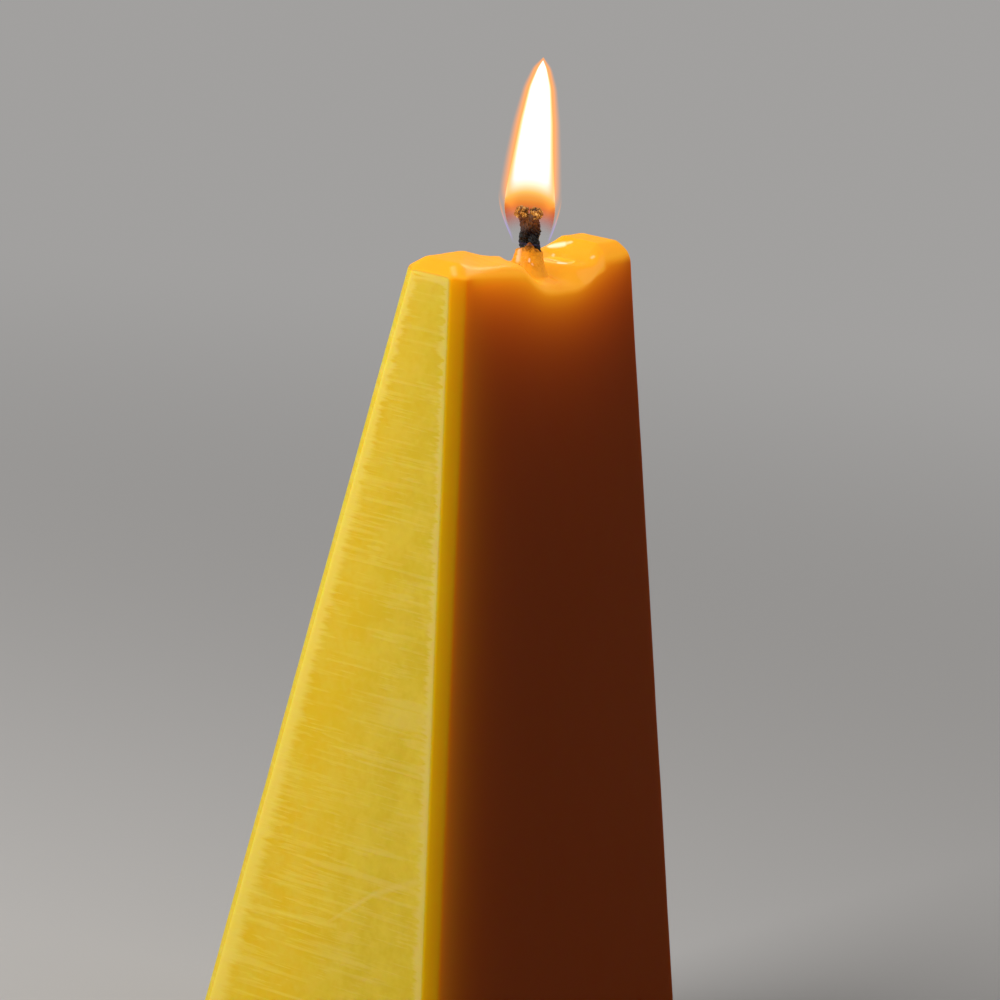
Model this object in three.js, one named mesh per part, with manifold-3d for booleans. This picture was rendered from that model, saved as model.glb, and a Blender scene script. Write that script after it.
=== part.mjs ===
// A burning beeswax candle: a tall wedge of cast wax with every edge chamfered, its narrow top
// melted hollow round a plaited cotton wick, and the flame that stands on the wick.
// Millimetres, +Z up, +X along the narrow top. The origin is the middle of the base.
import * as THREE from "three";
import Module from "manifold-3d";
import { mergeVertices } from "three/addons/utils/BufferGeometryUtils.js";

// Wax body, measured before its edges are chamfered
const BODY_HEIGHT = 150;
const BASE_LENGTH = 80;
const BASE_DEPTH = 53;
const TOP_LENGTH = 52;
const TOP_DEPTH = 11;
const UPRIGHT_CHAMFER = 2.1; // off each side of an upright edge
const TOP_CHAMFER_END = 2.9; // off the top, at its two short ends
const TOP_CHAMFER_SIDE = 1.95; // off the top, along its two long sides
const TOP_CHAMFER_DROP = 1.8;
const TOP_CORNER_BLUNT = 0.3;
const BASE_CHAMFER = 1.5;

// Melted shelf on the left of the wick: a crease runs across the top from CREASE_BACK to CREASE_FRONT
const CREASE_BACK = -11.6;
const CREASE_FRONT = -23.1;
const SHELF_STEP = 1.05; // drop beside the crease
const SHELF_STEP_RUN = 2.2; // distance over which most of that drop comes
const SHELF_FALL = 0.095; // fall per millimetre toward the wick
const SHELF_RISE = 0.9; // rise per millimetre past the wick, where the shelf ends
const CREASE_LIFT = 0.45; // rise per millimetre behind the crease, clear of the unmelted top

// Melted cup round the wick, as sections across the depth. at is where a section lies, from -1 at the
// front edge of the top to 1 at the back edge; left, right and depth are its edges and its lowest point;
// steep is how upright its right side is.
const CUP_SECTIONS = [
  { at: -1.5, left: -7.6, right: 16.2, depth: 5.9, steep: 4.6 },
  { at: -1.05, left: -7.6, right: 16.0, depth: 5.6, steep: 4.2 },
  { at: -0.8, left: -7.2, right: 13.6, depth: 5.4, steep: 2.8 },
  { at: -0.5, left: -6.6, right: 11.2, depth: 5.2, steep: 2.4 },
  { at: 0, left: -5.8, right: 9.6, depth: 5.0, steep: 2.3 },
  { at: 0.45, left: -3.4, right: 9.6, depth: 4.4, steep: 2.4 },
  { at: 0.85, left: -0.8, right: 10.8, depth: 3.3, steep: 2.6 },
  { at: 1.5, left: -0.4, right: 11.0, depth: 2.8, steep: 2.6 },
];
const CUP_LEFT_POWER = 2.4;

// Melted hollow on the right, which holds the pool of liquid wax
const HOLLOW_CENTRE = 9.6;
const HOLLOW_REACH = 6.0;
const HOLLOW_DEPTH = 3.1;
const HOLLOW_BACK_RISE = 1.9; // how much shallower it is at the back edge of the top
const HOLLOW_LEAST = 0.2; // depth that is left behind the back edge
const HOLLOW_SIDE_POWER = 4.5;

const MELT_BLEND = 0.8; // how softly shelf, cup and hollow run into each other
const MELT_CELL = 0.6; // size of the facets on the melted top
const MELT_CLEAR = 3; // how far the cutting shape stays above the unmelted top
const MELT_LID = 5; // top of the cutting shape above the unmelted top
const MELT_OVERHANG = 4; // how far the cutting shape reaches past the long sides of the top

// Pool of liquid wax
const POOL_X = 11.5;
const POOL_Y = 0.6;
const POOL_RADIUS = 3.4;
const POOL_LEVEL = 3.0; // below the unmelted top
const POOL_THICKNESS = 0.5;

// Wick: three strands plaited flat, from the base to just under the carbon heads
const WICK_X = 2.0;
const WICK_TURN = -60; // degrees from +X to the wick's wide side
const WICK_TOP = 4.4; // above the unmelted top
const STRAND_RADIUS = 0.44;
const STRAND_SIDES = 6;
const PLAIT_HALF_WIDTH = 1.2; // to a strand's middle
const PLAIT_HALF_THICKNESS = 0.82;
const PLAIT_PITCH = 11;
const PLAIT_STEPS = 8; // facets along one pitch
const STRAND_COUNT = 3;
const BURNT_LEAN = 2.0; // how far wick and flame end up leaning from the foot of the wick
const LEAN_HEIGHT = 5.2; // height by which half of the lean is reached

// Wax that climbs the foot of the wick
const FOOT_SEAT = 5.3; // below the unmelted top
const FOOT_TOP = 0.2; // below the unmelted top
const FOOT_BASE_RADIUS = 4.0;
const FOOT_NECK_RADIUS = 2.3;
const FOOT_NECK_DROP = 2.4; // below the foot's top, where it begins to spread
const FOOT_CURL = 1; // height above the seat that the spread is curled round
const FOOT_STEPS = 6;

// Carbon heads on the split end of the wick
const HEAD_LIFT = 5.8; // middle of the heads above the unmelted top
const HEADS = [
  { name: "carbon_head_left", side: -1.4, radius: 1.15 },
  { name: "carbon_head_right", side: 1.15, radius: 1.02 },
];
const HEAD_SIDES = 14;
const HEAD_RINGS = 9;
const HEAD_KNOBBLE = 0.05; // height of the knobs, as a share of the radius
const HEAD_KNOBS = 3; // how closely they follow each other

// Flame, with an open pocket from below for the wick and its heads
const FLAME_BOTTOM = 0.65; // above the unmelted top
const FLAME_HEIGHT = 30.6;
const FLAME_OUTLINE = [
  { up: 0, radius: 2.85 },
  { up: 1.2, radius: 3.35 },
  { up: 3.1, radius: 4.0 },
  { up: 5.4, radius: 4.28 },
  { up: 9.4, radius: 3.9 },
  { up: 14.1, radius: 3.3 },
  { up: 20.1, radius: 2.65 },
  { up: 25.9, radius: 1.9 },
  { up: 29.2, radius: 1.15 },
];
const FLAME_SIDES = 28;
const FLAME_STEPS = 30;
const POCKET_WIDE_AT = 3.9; // above the flame's bottom
const POCKET_ROOF_STEPS = 5;

const GAP = 0.3; // clearance between neighbouring pieces
const CUT_PAST = 1; // how far a cutting shape runs past what it cuts
const BORE_SIDES = 32;

const waxMaterial = () =>
  new THREE.MeshStandardMaterial({ color: 0xd8a92c, roughness: 0.48, metalness: 0 });
const liquidMaterial = () =>
  new THREE.MeshStandardMaterial({ color: 0xf6b93c, roughness: 0.06, metalness: 0 });
const soakedMaterial = () =>
  new THREE.MeshStandardMaterial({ color: 0xc9741c, roughness: 0.25, metalness: 0 });
const wickMaterial = () =>
  new THREE.MeshStandardMaterial({ color: 0x1c1815, roughness: 0.9, metalness: 0 });
const carbonMaterial = () =>
  new THREE.MeshStandardMaterial({
    color: 0x4a2a10,
    roughness: 0.7,
    metalness: 0,
    emissive: 0x7a3a08,
  });
const flameMaterial = () =>
  new THREE.MeshStandardMaterial({
    color: 0xffd890,
    roughness: 1,
    metalness: 0,
    emissive: 0xffc060,
  });

const wasm = await Module();
wasm.setup();

function toSolid(geometry) {
  const bare = geometry.clone();
  bare.deleteAttribute("normal");
  bare.deleteAttribute("uv");
  const merged = mergeVertices(bare, 1e-4);
  return new wasm.Manifold(
    new wasm.Mesh({
      numProp: 3,
      vertProperties: new Float32Array(merged.attributes.position.array),
      triVerts: new Uint32Array(merged.index.array),
    }),
  );
}

function fromSolid(solid) {
  const mesh = solid.getMesh();
  const geometry = new THREE.BufferGeometry();
  geometry.setAttribute("position", new THREE.Float32BufferAttribute(mesh.vertProperties, 3));
  geometry.setIndex(Array.from(mesh.triVerts));
  geometry.computeVertexNormals();
  return geometry;
}

function fromPoints(points, triangles) {
  const geometry = new THREE.BufferGeometry();
  geometry.setAttribute("position", new THREE.Float32BufferAttribute(points.flat(), 3));
  geometry.setIndex(triangles.flat());
  return geometry;
}

function named(name, geometry, material) {
  const mesh = new THREE.Mesh(geometry, material);
  mesh.name = name;
  return mesh;
}

// A cylinder that stands on z = bottom, with its axis upright.
function uprightCylinder(radius, bottom, top) {
  return new THREE.CylinderGeometry(radius, radius, top - bottom, BORE_SIDES)
    .rotateX(Math.PI / 2)
    .translate(0, 0, (bottom + top) / 2);
}

// Turns a profile of [radius, z] points round the upright axis.
function uprightLathe(profile, sides) {
  const points = profile.map(([radius, z]) => new THREE.Vector2(radius, z));
  return new THREE.LatheGeometry(points, sides).rotateX(Math.PI / 2);
}

const halfLengthAt = (z) => THREE.MathUtils.lerp(BASE_LENGTH, TOP_LENGTH, z / BODY_HEIGHT) / 2;
const halfDepthAt = (z) => THREE.MathUtils.lerp(BASE_DEPTH, TOP_DEPTH, z / BODY_HEIGHT) / 2;

// Where the middle of the wick and of the flame lies at height z: upright in the wax, then leaning.
function axisX(z) {
  const h = Math.max(0, z - BODY_HEIGHT);
  return WICK_X - (BURNT_LEAN * h * h) / (h * h + LEAN_HEIGHT * LEAN_HEIGHT);
}

// Moves each point of an upright shape sideways so that the shape follows the wick's axis.
function followAxis(geometry) {
  const position = geometry.attributes.position;
  for (let i = 0; i < position.count; i += 1) {
    position.setX(i, position.getX(i) + axisX(position.getZ(i)));
  }
  geometry.computeVertexNormals();
  return geometry;
}

// Eight corners of a rectangle with its corners cut, anticlockwise seen from above.
function cutRectangle(a, b, cut, z) {
  return [
    [a - cut, -b, z],
    [a, cut - b, z],
    [a, b - cut, z],
    [a - cut, b, z],
    [cut - a, b, z],
    [-a, b - cut, z],
    [-a, cut - b, z],
    [cut - a, -b, z],
  ];
}

// The cast wedge before it burns.
function castWedge() {
  const shoulder = BODY_HEIGHT - TOP_CHAMFER_DROP;
  const rings = [
    cutRectangle(
      halfLengthAt(0) - BASE_CHAMFER,
      halfDepthAt(0) - BASE_CHAMFER,
      UPRIGHT_CHAMFER,
      0,
    ),
    cutRectangle(
      halfLengthAt(BASE_CHAMFER),
      halfDepthAt(BASE_CHAMFER),
      UPRIGHT_CHAMFER,
      BASE_CHAMFER,
    ),
    cutRectangle(halfLengthAt(shoulder), halfDepthAt(shoulder), UPRIGHT_CHAMFER, shoulder),
    cutRectangle(
      TOP_LENGTH / 2 - TOP_CHAMFER_END,
      TOP_DEPTH / 2 - TOP_CHAMFER_SIDE,
      TOP_CORNER_BLUNT,
      BODY_HEIGHT,
    ),
  ];
  const count = rings[0].length;
  const triangles = [];
  for (let level = 0; level + 1 < rings.length; level += 1) {
    for (let i = 0; i < count; i += 1) {
      const j = (i + 1) % count;
      const low = level * count;
      const high = low + count;
      triangles.push([low + i, low + j, high + j], [low + i, high + j, high + i]);
    }
  }
  const last = (rings.length - 1) * count;
  for (let i = 1; i + 1 < count; i += 1) {
    triangles.push([0, i + 1, i], [last, last + i, last + i + 1]);
  }
  return fromPoints(rings.flat(), triangles);
}

// The larger of two depths, rounded where they meet.
const blendDepths = (a, b) => (a + b + Math.hypot(a - b, MELT_BLEND)) / 2;

function shelfDepth(x, y) {
  const topEdge = TOP_DEPTH / 2 - TOP_CHAMFER_SIDE;
  const crease = new THREE.Vector2(CREASE_BACK - CREASE_FRONT, 2 * topEdge);
  const past = ((x - CREASE_BACK) * crease.y - (y - topEdge) * crease.x) / crease.length();
  const end = SHELF_RISE * Math.max(0, x - WICK_X);
  if (past < 0) return CREASE_LIFT * past;
  const step = SHELF_STEP * (1 - Math.exp(-past / SHELF_STEP_RUN));
  return step + SHELF_FALL * Math.max(0, x - CREASE_BACK) - end;
}

// A section of the cup at a place across the depth, between the listed ones.
function cupSection(at) {
  const stations = CUP_SECTIONS;
  const inside = THREE.MathUtils.clamp(at, stations[0].at, stations[stations.length - 1].at);
  let i = 0;
  while (i + 2 < stations.length && inside > stations[i + 1].at) i += 1;
  const [a, b] = [stations[i], stations[i + 1]];
  const t = THREE.MathUtils.inverseLerp(a.at, b.at, inside);
  const mix = (key) => THREE.MathUtils.lerp(a[key], b[key], t);
  return { left: mix("left"), right: mix("right"), depth: mix("depth"), steep: mix("steep") };
}

function cupDepth(x, y) {
  const { left, right, depth, steep } = cupSection(y / (TOP_DEPTH / 2));
  const middle = (left + right) / 2;
  const power = x < middle ? CUP_LEFT_POWER : steep;
  const across = Math.abs(x - middle) / ((right - left) / 2);
  return depth * (1 - across ** power);
}

function hollowDepth(x, y) {
  const across = Math.abs(x - HOLLOW_CENTRE) / HOLLOW_REACH;
  const back = Math.max(0, y / (TOP_DEPTH / 2));
  const depth = Math.max(HOLLOW_LEAST, HOLLOW_DEPTH - HOLLOW_BACK_RISE * back * back);
  return depth * (1 - across ** HOLLOW_SIDE_POWER);
}

// How far the melted surface lies below the unmelted top; negative where nothing has melted.
function meltDepth(x, y) {
  const melted = blendDepths(blendDepths(shelfDepth(x, y), cupDepth(x, y)), hollowDepth(x, y));
  return Math.max(melted, -MELT_CLEAR);
}

// The block of wax that has melted away: its underside is the melted surface.
function meltedAway() {
  const reachX = TOP_LENGTH / 2 + CUT_PAST;
  const reachY = TOP_DEPTH / 2 + MELT_OVERHANG;
  const columns = Math.ceil((2 * reachX) / MELT_CELL);
  const rows = Math.ceil((2 * reachY) / MELT_CELL);
  const points = [];
  for (const lid of [false, true]) {
    for (let j = 0; j <= rows; j += 1) {
      for (let i = 0; i <= columns; i += 1) {
        const x = -reachX + (2 * reachX * i) / columns;
        const y = -reachY + (2 * reachY * j) / rows;
        points.push([x, y, BODY_HEIGHT + (lid ? MELT_LID : -meltDepth(x, y))]);
      }
    }
  }
  const stride = columns + 1;
  const above = stride * (rows + 1);
  const triangles = [];
  const quad = (a, b, c, d) => triangles.push([a, b, c], [a, c, d]);
  for (let j = 0; j < rows; j += 1) {
    for (let i = 0; i < columns; i += 1) {
      const a = j * stride + i;
      quad(a, a + stride, a + stride + 1, a + 1);
      quad(above + a, above + a + 1, above + a + stride + 1, above + a + stride);
    }
  }
  for (let i = 0; i < columns; i += 1) {
    const far = rows * stride + i;
    quad(i, i + 1, above + i + 1, above + i);
    quad(far, above + far, above + far + 1, far + 1);
  }
  for (let j = 0; j < rows; j += 1) {
    const a = j * stride;
    const b = a + columns;
    quad(a, above + a, above + a + stride, a + stride);
    quad(b, b + stride, above + b + stride, above + b);
  }
  return fromPoints(points, triangles);
}

const boreRadius = PLAIT_HALF_WIDTH + STRAND_RADIUS + GAP;

function waxBody() {
  const above = BODY_HEIGHT + MELT_LID;
  const bore = uprightCylinder(boreRadius, -CUT_PAST, above).translate(WICK_X, 0, 0);
  const footSeat = uprightCylinder(FOOT_BASE_RADIUS + GAP, BODY_HEIGHT - FOOT_SEAT, above);
  const poolFloor = BODY_HEIGHT - POOL_LEVEL - POOL_THICKNESS;
  const poolSeat = uprightCylinder(POOL_RADIUS + GAP, poolFloor, above);
  const solid = toSolid(castWedge())
    .subtract(toSolid(meltedAway()))
    .subtract(toSolid(bore))
    .subtract(toSolid(footSeat.translate(WICK_X, 0, 0)))
    .subtract(toSolid(poolSeat.translate(POOL_X, POOL_Y, 0)));
  return named("wax_body", fromSolid(solid), waxMaterial());
}

function meltPool() {
  const level = BODY_HEIGHT - POOL_LEVEL;
  const pool = uprightCylinder(POOL_RADIUS, level - POOL_THICKNESS, level);
  return named("melt_pool", pool.translate(POOL_X, POOL_Y, 0), liquidMaterial());
}

// The middle of one strand of the plait.
class StrandPath extends THREE.Curve {
  constructor(phase) {
    super();
    this.phase = phase;
  }

  getPoint(t, target = new THREE.Vector3()) {
    const z = t * (BODY_HEIGHT + WICK_TOP);
    const turn = (2 * Math.PI * z) / PLAIT_PITCH + this.phase;
    const wide = PLAIT_HALF_WIDTH * Math.sin(turn);
    const thick = PLAIT_HALF_THICKNESS * Math.sin(2 * turn);
    const angle = THREE.MathUtils.degToRad(WICK_TURN);
    const x = wide * Math.cos(angle) - thick * Math.sin(angle);
    const y = wide * Math.sin(angle) + thick * Math.cos(angle);
    return target.set(axisX(z) + x, y, z);
  }
}

// Cuts a strand level with the base and with the wick's end, where its slanted ends pass them.
function levelEnds(geometry) {
  const across = 2 * (PLAIT_HALF_WIDTH + STRAND_RADIUS + BURNT_LEAN + CUT_PAST);
  const keep = new THREE.BoxGeometry(across, across, BODY_HEIGHT + WICK_TOP);
  keep.translate(WICK_X, 0, (BODY_HEIGHT + WICK_TOP) / 2);
  return fromSolid(toSolid(geometry).intersect(toSolid(keep)));
}

function strand(index) {
  const section = new THREE.Shape(
    Array.from({ length: STRAND_SIDES }, (_, i) => {
      const angle = (2 * Math.PI * i) / STRAND_SIDES;
      return new THREE.Vector2(Math.cos(angle), Math.sin(angle)).multiplyScalar(STRAND_RADIUS);
    }),
  );
  const steps = Math.round(((BODY_HEIGHT + WICK_TOP) / PLAIT_PITCH) * PLAIT_STEPS);
  const path = new StrandPath((2 * Math.PI * index) / STRAND_COUNT);
  const tube = new THREE.ExtrudeGeometry(section, { steps, extrudePath: path });
  return named(`wick_strand_${index + 1}`, levelEnds(tube), wickMaterial());
}

function wickFoot() {
  const seat = BODY_HEIGHT - FOOT_SEAT;
  const top = BODY_HEIGHT - FOOT_TOP;
  const flare = new THREE.QuadraticBezierCurve(
    new THREE.Vector2(FOOT_BASE_RADIUS, seat),
    new THREE.Vector2(FOOT_NECK_RADIUS, seat + FOOT_CURL),
    new THREE.Vector2(FOOT_NECK_RADIUS, top - FOOT_NECK_DROP),
  ).getPoints(FOOT_STEPS);
  const profile = [
    [boreRadius, seat],
    ...flare.map((p) => [p.x, p.y]),
    [FOOT_NECK_RADIUS, top],
    [boreRadius, top],
    [boreRadius, seat],
  ];
  const foot = uprightLathe(profile, BORE_SIDES);
  return named("wick_foot", followAxis(foot), soakedMaterial());
}

// A knobbly lump of carbon.
function carbonHead({ name, side, radius }) {
  const lump = new THREE.SphereGeometry(radius, HEAD_SIDES, HEAD_RINGS);
  const position = lump.attributes.position;
  const point = new THREE.Vector3();
  for (let i = 0; i < position.count; i += 1) {
    point.fromBufferAttribute(position, i);
    const { x, y, z } = point.clone().multiplyScalar(HEAD_KNOBS / radius);
    const knob = Math.sin(x + y) * Math.cos(y - z) * Math.sin(z + side);
    point.multiplyScalar(1 - HEAD_KNOBBLE + HEAD_KNOBBLE * knob);
    position.setXYZ(i, point.x, point.y, point.z);
  }
  const angle = THREE.MathUtils.degToRad(WICK_TURN);
  const z = BODY_HEIGHT + HEAD_LIFT;
  lump.translate(axisX(z) + side * Math.cos(angle), side * Math.sin(angle), z);
  lump.computeVertexNormals();
  return named(name, lump, carbonMaterial());
}

function flame() {
  const bottom = BODY_HEIGHT + FLAME_BOTTOM;
  const outline = new THREE.SplineCurve([
    ...FLAME_OUTLINE.map(({ up, radius }) => new THREE.Vector2(radius, bottom + up)),
    new THREE.Vector2(0, bottom + FLAME_HEIGHT),
  ]).getSpacedPoints(FLAME_STEPS);
  const headReach = Math.max(...HEADS.map(({ side, radius }) => Math.abs(side) + radius));
  const headTop = Math.max(...HEADS.map(({ radius }) => HEAD_LIFT + radius));
  const wide = headReach + GAP;
  const roof = BODY_HEIGHT + headTop + GAP;
  const wideFrom = bottom + POCKET_WIDE_AT;
  const spring = BODY_HEIGHT + HEAD_LIFT;
  const pocket = Array.from({ length: POCKET_ROOF_STEPS + 1 }, (_, i) => {
    const angle = (Math.PI / 2) * (i / POCKET_ROOF_STEPS);
    return [wide * Math.sin(angle), spring + (roof - spring) * Math.cos(angle)];
  });
  pocket[0][0] = 0;
  const neck = wideFrom - (wide - boreRadius);
  const profile = [
    ...pocket,
    [wide, wideFrom],
    [boreRadius, neck],
    [boreRadius, bottom],
    ...outline.slice(0, -1).map((p) => [p.x, p.y]),
    [0, bottom + FLAME_HEIGHT],
  ];
  const body = uprightLathe(profile, FLAME_SIDES);
  return named("flame", followAxis(body), flameMaterial());
}

const wick = new THREE.Group();
for (let index = 0; index < STRAND_COUNT; index += 1) wick.add(strand(index));
for (const head of HEADS) wick.add(carbonHead(head));

const candle = new THREE.Group();
candle.add(waxBody(), meltPool(), wick, wickFoot(), flame());

export default candle;
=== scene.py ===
"""A burning beeswax candle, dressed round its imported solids.

The cast wedge of wax, its melted top with a pool of liquid wax, the plaited wick with its carbon
heads and the flame are each built in mesh code and given a finish made of shader nodes. Sizes are
in millimetres, in the frame of the solids, and turn into metres where a mesh is made.
"""

from __future__ import annotations

import logging
import math
from dataclasses import dataclass
from enum import Enum
from typing import Callable, Sequence

import bpy
import numpy as np
from mathutils import Matrix, Vector


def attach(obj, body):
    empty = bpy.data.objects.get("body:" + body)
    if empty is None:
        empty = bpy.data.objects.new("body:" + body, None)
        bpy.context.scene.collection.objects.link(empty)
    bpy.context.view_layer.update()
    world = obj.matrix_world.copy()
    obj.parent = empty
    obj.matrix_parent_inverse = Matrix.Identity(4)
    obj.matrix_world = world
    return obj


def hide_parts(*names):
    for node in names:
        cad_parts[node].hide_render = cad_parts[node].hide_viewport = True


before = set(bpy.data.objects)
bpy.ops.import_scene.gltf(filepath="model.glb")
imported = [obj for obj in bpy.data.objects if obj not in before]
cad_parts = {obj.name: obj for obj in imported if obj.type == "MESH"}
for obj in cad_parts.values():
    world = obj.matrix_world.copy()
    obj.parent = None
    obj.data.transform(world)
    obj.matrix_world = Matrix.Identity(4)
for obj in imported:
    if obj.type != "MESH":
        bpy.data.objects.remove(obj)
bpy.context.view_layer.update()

LOG = logging.getLogger("candle")
METRES = 0.001
BODY = "root"
FLAT = np.array([1.0, 1.0, 0.0])
BLACK = (0.0, 0.0, 0.0)

Array = np.ndarray
Pair = tuple[float, float]
Point = tuple[float, float, float]
Colour = tuple[float, float, float]
Stops = Sequence[tuple[float, Colour]]
Faces = list[tuple[int, ...]]
Piece = bpy.types.Object
Socket = bpy.types.NodeSocket
Value = Socket | float | Sequence[float]


class Slot(Enum):
    """Material slots of the record."""

    BEESWAX = "beeswax"
    LIQUID = "liquid_wax"
    WICK = "burnt_wick"
    SOAKED = "soaked_wax"
    CARBON = "glowing_carbon"
    FLAME = "flame"


class Field(Enum):
    """Values that a mesh carries at its points for its finish to read."""

    EDGE = "edge"
    # Pale bloom, given by face so that it also paints the lit left end lighter than the shaded front
    BLOOM_AND_LIGHT = "bloom"
    # Depth of the amber, partly painted shade on the faces that lie in shade
    DEPTH_AND_SHADE = "depth"
    WET = "wet"
    SOAK = "soak"
    MELT = "melt"
    GLOW = "glow"


def smooth_max(a: Array, b: Array, softness: Array | float) -> Array:
    """Take the larger of two fields, rounded where they meet.

    Args:
        a: First field.
        b: Second field.
        softness: Width over which the two run into each other.

    Returns:
        The blended field.
    """
    share = np.maximum(softness - np.abs(a - b), 0.0) / softness
    return np.maximum(a, b) + share * share * softness / 4


def smooth_step(value: Array, start: float, end: float) -> Array:
    """Rise smoothly from 0 at start to 1 at end."""
    t = np.clip((value - start) / (end - start), 0.0, 1.0)
    return t * t * (3 - 2 * t)


def unit(rows: Array) -> Array:
    """Make each row a vector of length 1, and leave a row of zeros as it is."""
    shortest = 1e-6
    return rows / np.maximum(np.linalg.norm(rows, axis=1, keepdims=True), shortest)


class Ripple:
    """Smooth noise made of sine waves with seeded directions."""

    def __init__(self, seed: int, wavelength: float, waves: int = 18) -> None:
        """Draw the waves.

        Args:
            seed: Seed of the draw.
            wavelength: Typical length of a wave.
            waves: How many waves are added up.
        """
        rng = np.random.default_rng(seed)
        directions = unit(rng.normal(size=(waves, 3)))
        lengths = wavelength * rng.uniform(0.6, 1.7, size=(waves, 1))
        self.vectors = directions * (2 * math.pi / lengths)
        self.phases = rng.uniform(0, 2 * math.pi, size=waves)

    def at(self, points: Array) -> Array:
        """Read the noise at points, about -1 to 1."""
        total = np.sin(points @ self.vectors.T + self.phases).sum(axis=1)
        return total / math.sqrt(2 * len(self.phases))


def linked(name: str, data: bpy.types.ID) -> Piece:
    """Make an object of a mesh, a lamp or a camera and link it to the scene."""
    made = bpy.data.objects.new(name, data)
    bpy.context.scene.collection.objects.link(made)
    return made


def make_piece(name: str, points: Array, faces: Faces) -> Piece:
    """Make a smooth mesh object from points in millimetres.

    Args:
        name: Name of the object.
        points: One row for each point.
        faces: Point numbers of each face, anticlockwise from outside.

    Returns:
        The linked object.
    """
    mesh = bpy.data.meshes.new(name)
    mesh.from_pydata((points * METRES).tolist(), [], faces)
    mesh.validate()
    mesh.polygons.foreach_set("use_smooth", [True] * len(mesh.polygons))
    mesh.update()
    return linked(name, mesh)


def mesh_rows(mesh: bpy.types.Mesh, name: str) -> Array:
    """Read a vector that each of a mesh's points has, such as its normal, one row each."""
    flat = np.empty(3 * len(mesh.vertices))
    mesh.vertices.foreach_get(name, flat)
    return flat.reshape(-1, 3)


def store_value(piece: Piece, field: Field, values: Array) -> None:
    """Store one number for each point of a piece."""
    layer = piece.data.attributes.new(field.value, "FLOAT", "POINT")
    layer.data.foreach_set("value", values.astype(np.float32))


def store_colour(piece: Piece, field: Field, colours: Array) -> None:
    """Store one colour for each point of a piece."""
    layer = piece.data.attributes.new(field.value, "FLOAT_COLOR", "POINT")
    rows = np.concatenate([colours, np.ones((len(colours), 1))], axis=1)
    layer.data.foreach_set("color", rows.astype(np.float32).ravel())


def turns(sides: int) -> Array:
    """Angles of points that are evenly spread round a whole turn."""
    return np.arange(sides) * 2 * math.pi / sides


def level_ring(angle: Array, radius: Array | float, z: Array | float, x: Array | float = 0.0) -> Array:
    """Make a ring of points round an upright line.

    Args:
        angle: Angle of each point.
        radius: Distance from the line.
        z: Height.
        x: Place of the line along X.

    Returns:
        One row for each point.
    """
    level = z + np.zeros_like(angle)
    return np.column_stack([x + radius * np.cos(angle), radius * np.sin(angle), level])


def ring_faces(rings: int, columns: int, closed: bool = False) -> Faces:
    """Join rings of points with four-sided faces.

    Args:
        rings: How many rings there are, each after the one before it.
        columns: How many points each ring has.
        closed: Whether the last ring joins the first.

    Returns:
        The faces.
    """
    faces: Faces = []
    for ring in range(rings if closed else rings - 1):
        low = ring * columns
        high = ((ring + 1) % rings) * columns
        for i in range(columns):
            j = (i + 1) % columns
            faces.append((low + i, low + j, high + j, high + i))
    return faces


def capped_faces(rings: int, columns: int) -> Faces:
    """Join rings of points and close both ends flat, facing out where the rings climb."""
    last = (rings - 1) * columns
    caps: Faces = [tuple(reversed(range(columns))), tuple(range(last, last + columns))]
    return ring_faces(rings, columns) + caps


def poled_faces(rings: int, columns: int) -> Faces:
    """Join a first point, rings of points and a last point, facing out where they climb."""
    faces: Faces = [tuple(1 + i for i in face) for face in ring_faces(rings, columns)]
    last = 1 + (rings - 1) * columns
    for i in range(columns):
        j = (i + 1) % columns
        faces.append((0, 1 + j, 1 + i))
        faces.append((last + columns, last + i, last + j))
    return faces


def flipped(faces: Faces) -> Faces:
    """Turn faces over."""
    return [tuple(reversed(face)) for face in faces]


def crossing(inside: Callable[[Array], Array], origin: Array, direction: Array, reach: float) -> Array:
    """Find where rays from inside a solid leave it.

    Args:
        inside: Field that is negative inside the solid.
        origin: Where each ray starts, inside the solid.
        direction: Unit direction of each ray.
        reach: Distance along the rays that is surely outside.

    Returns:
        The points on the surface.
    """
    halvings = 26
    near = np.zeros(len(origin))
    far = np.full(len(origin), reach)
    for _ in range(halvings):
        middle = (near + far) / 2
        within = inside(origin + direction * middle[:, None]) < 0
        near = np.where(within, middle, near)
        far = np.where(within, far, middle)
    return origin + direction * ((near + far) / 2)[:, None]


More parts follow.
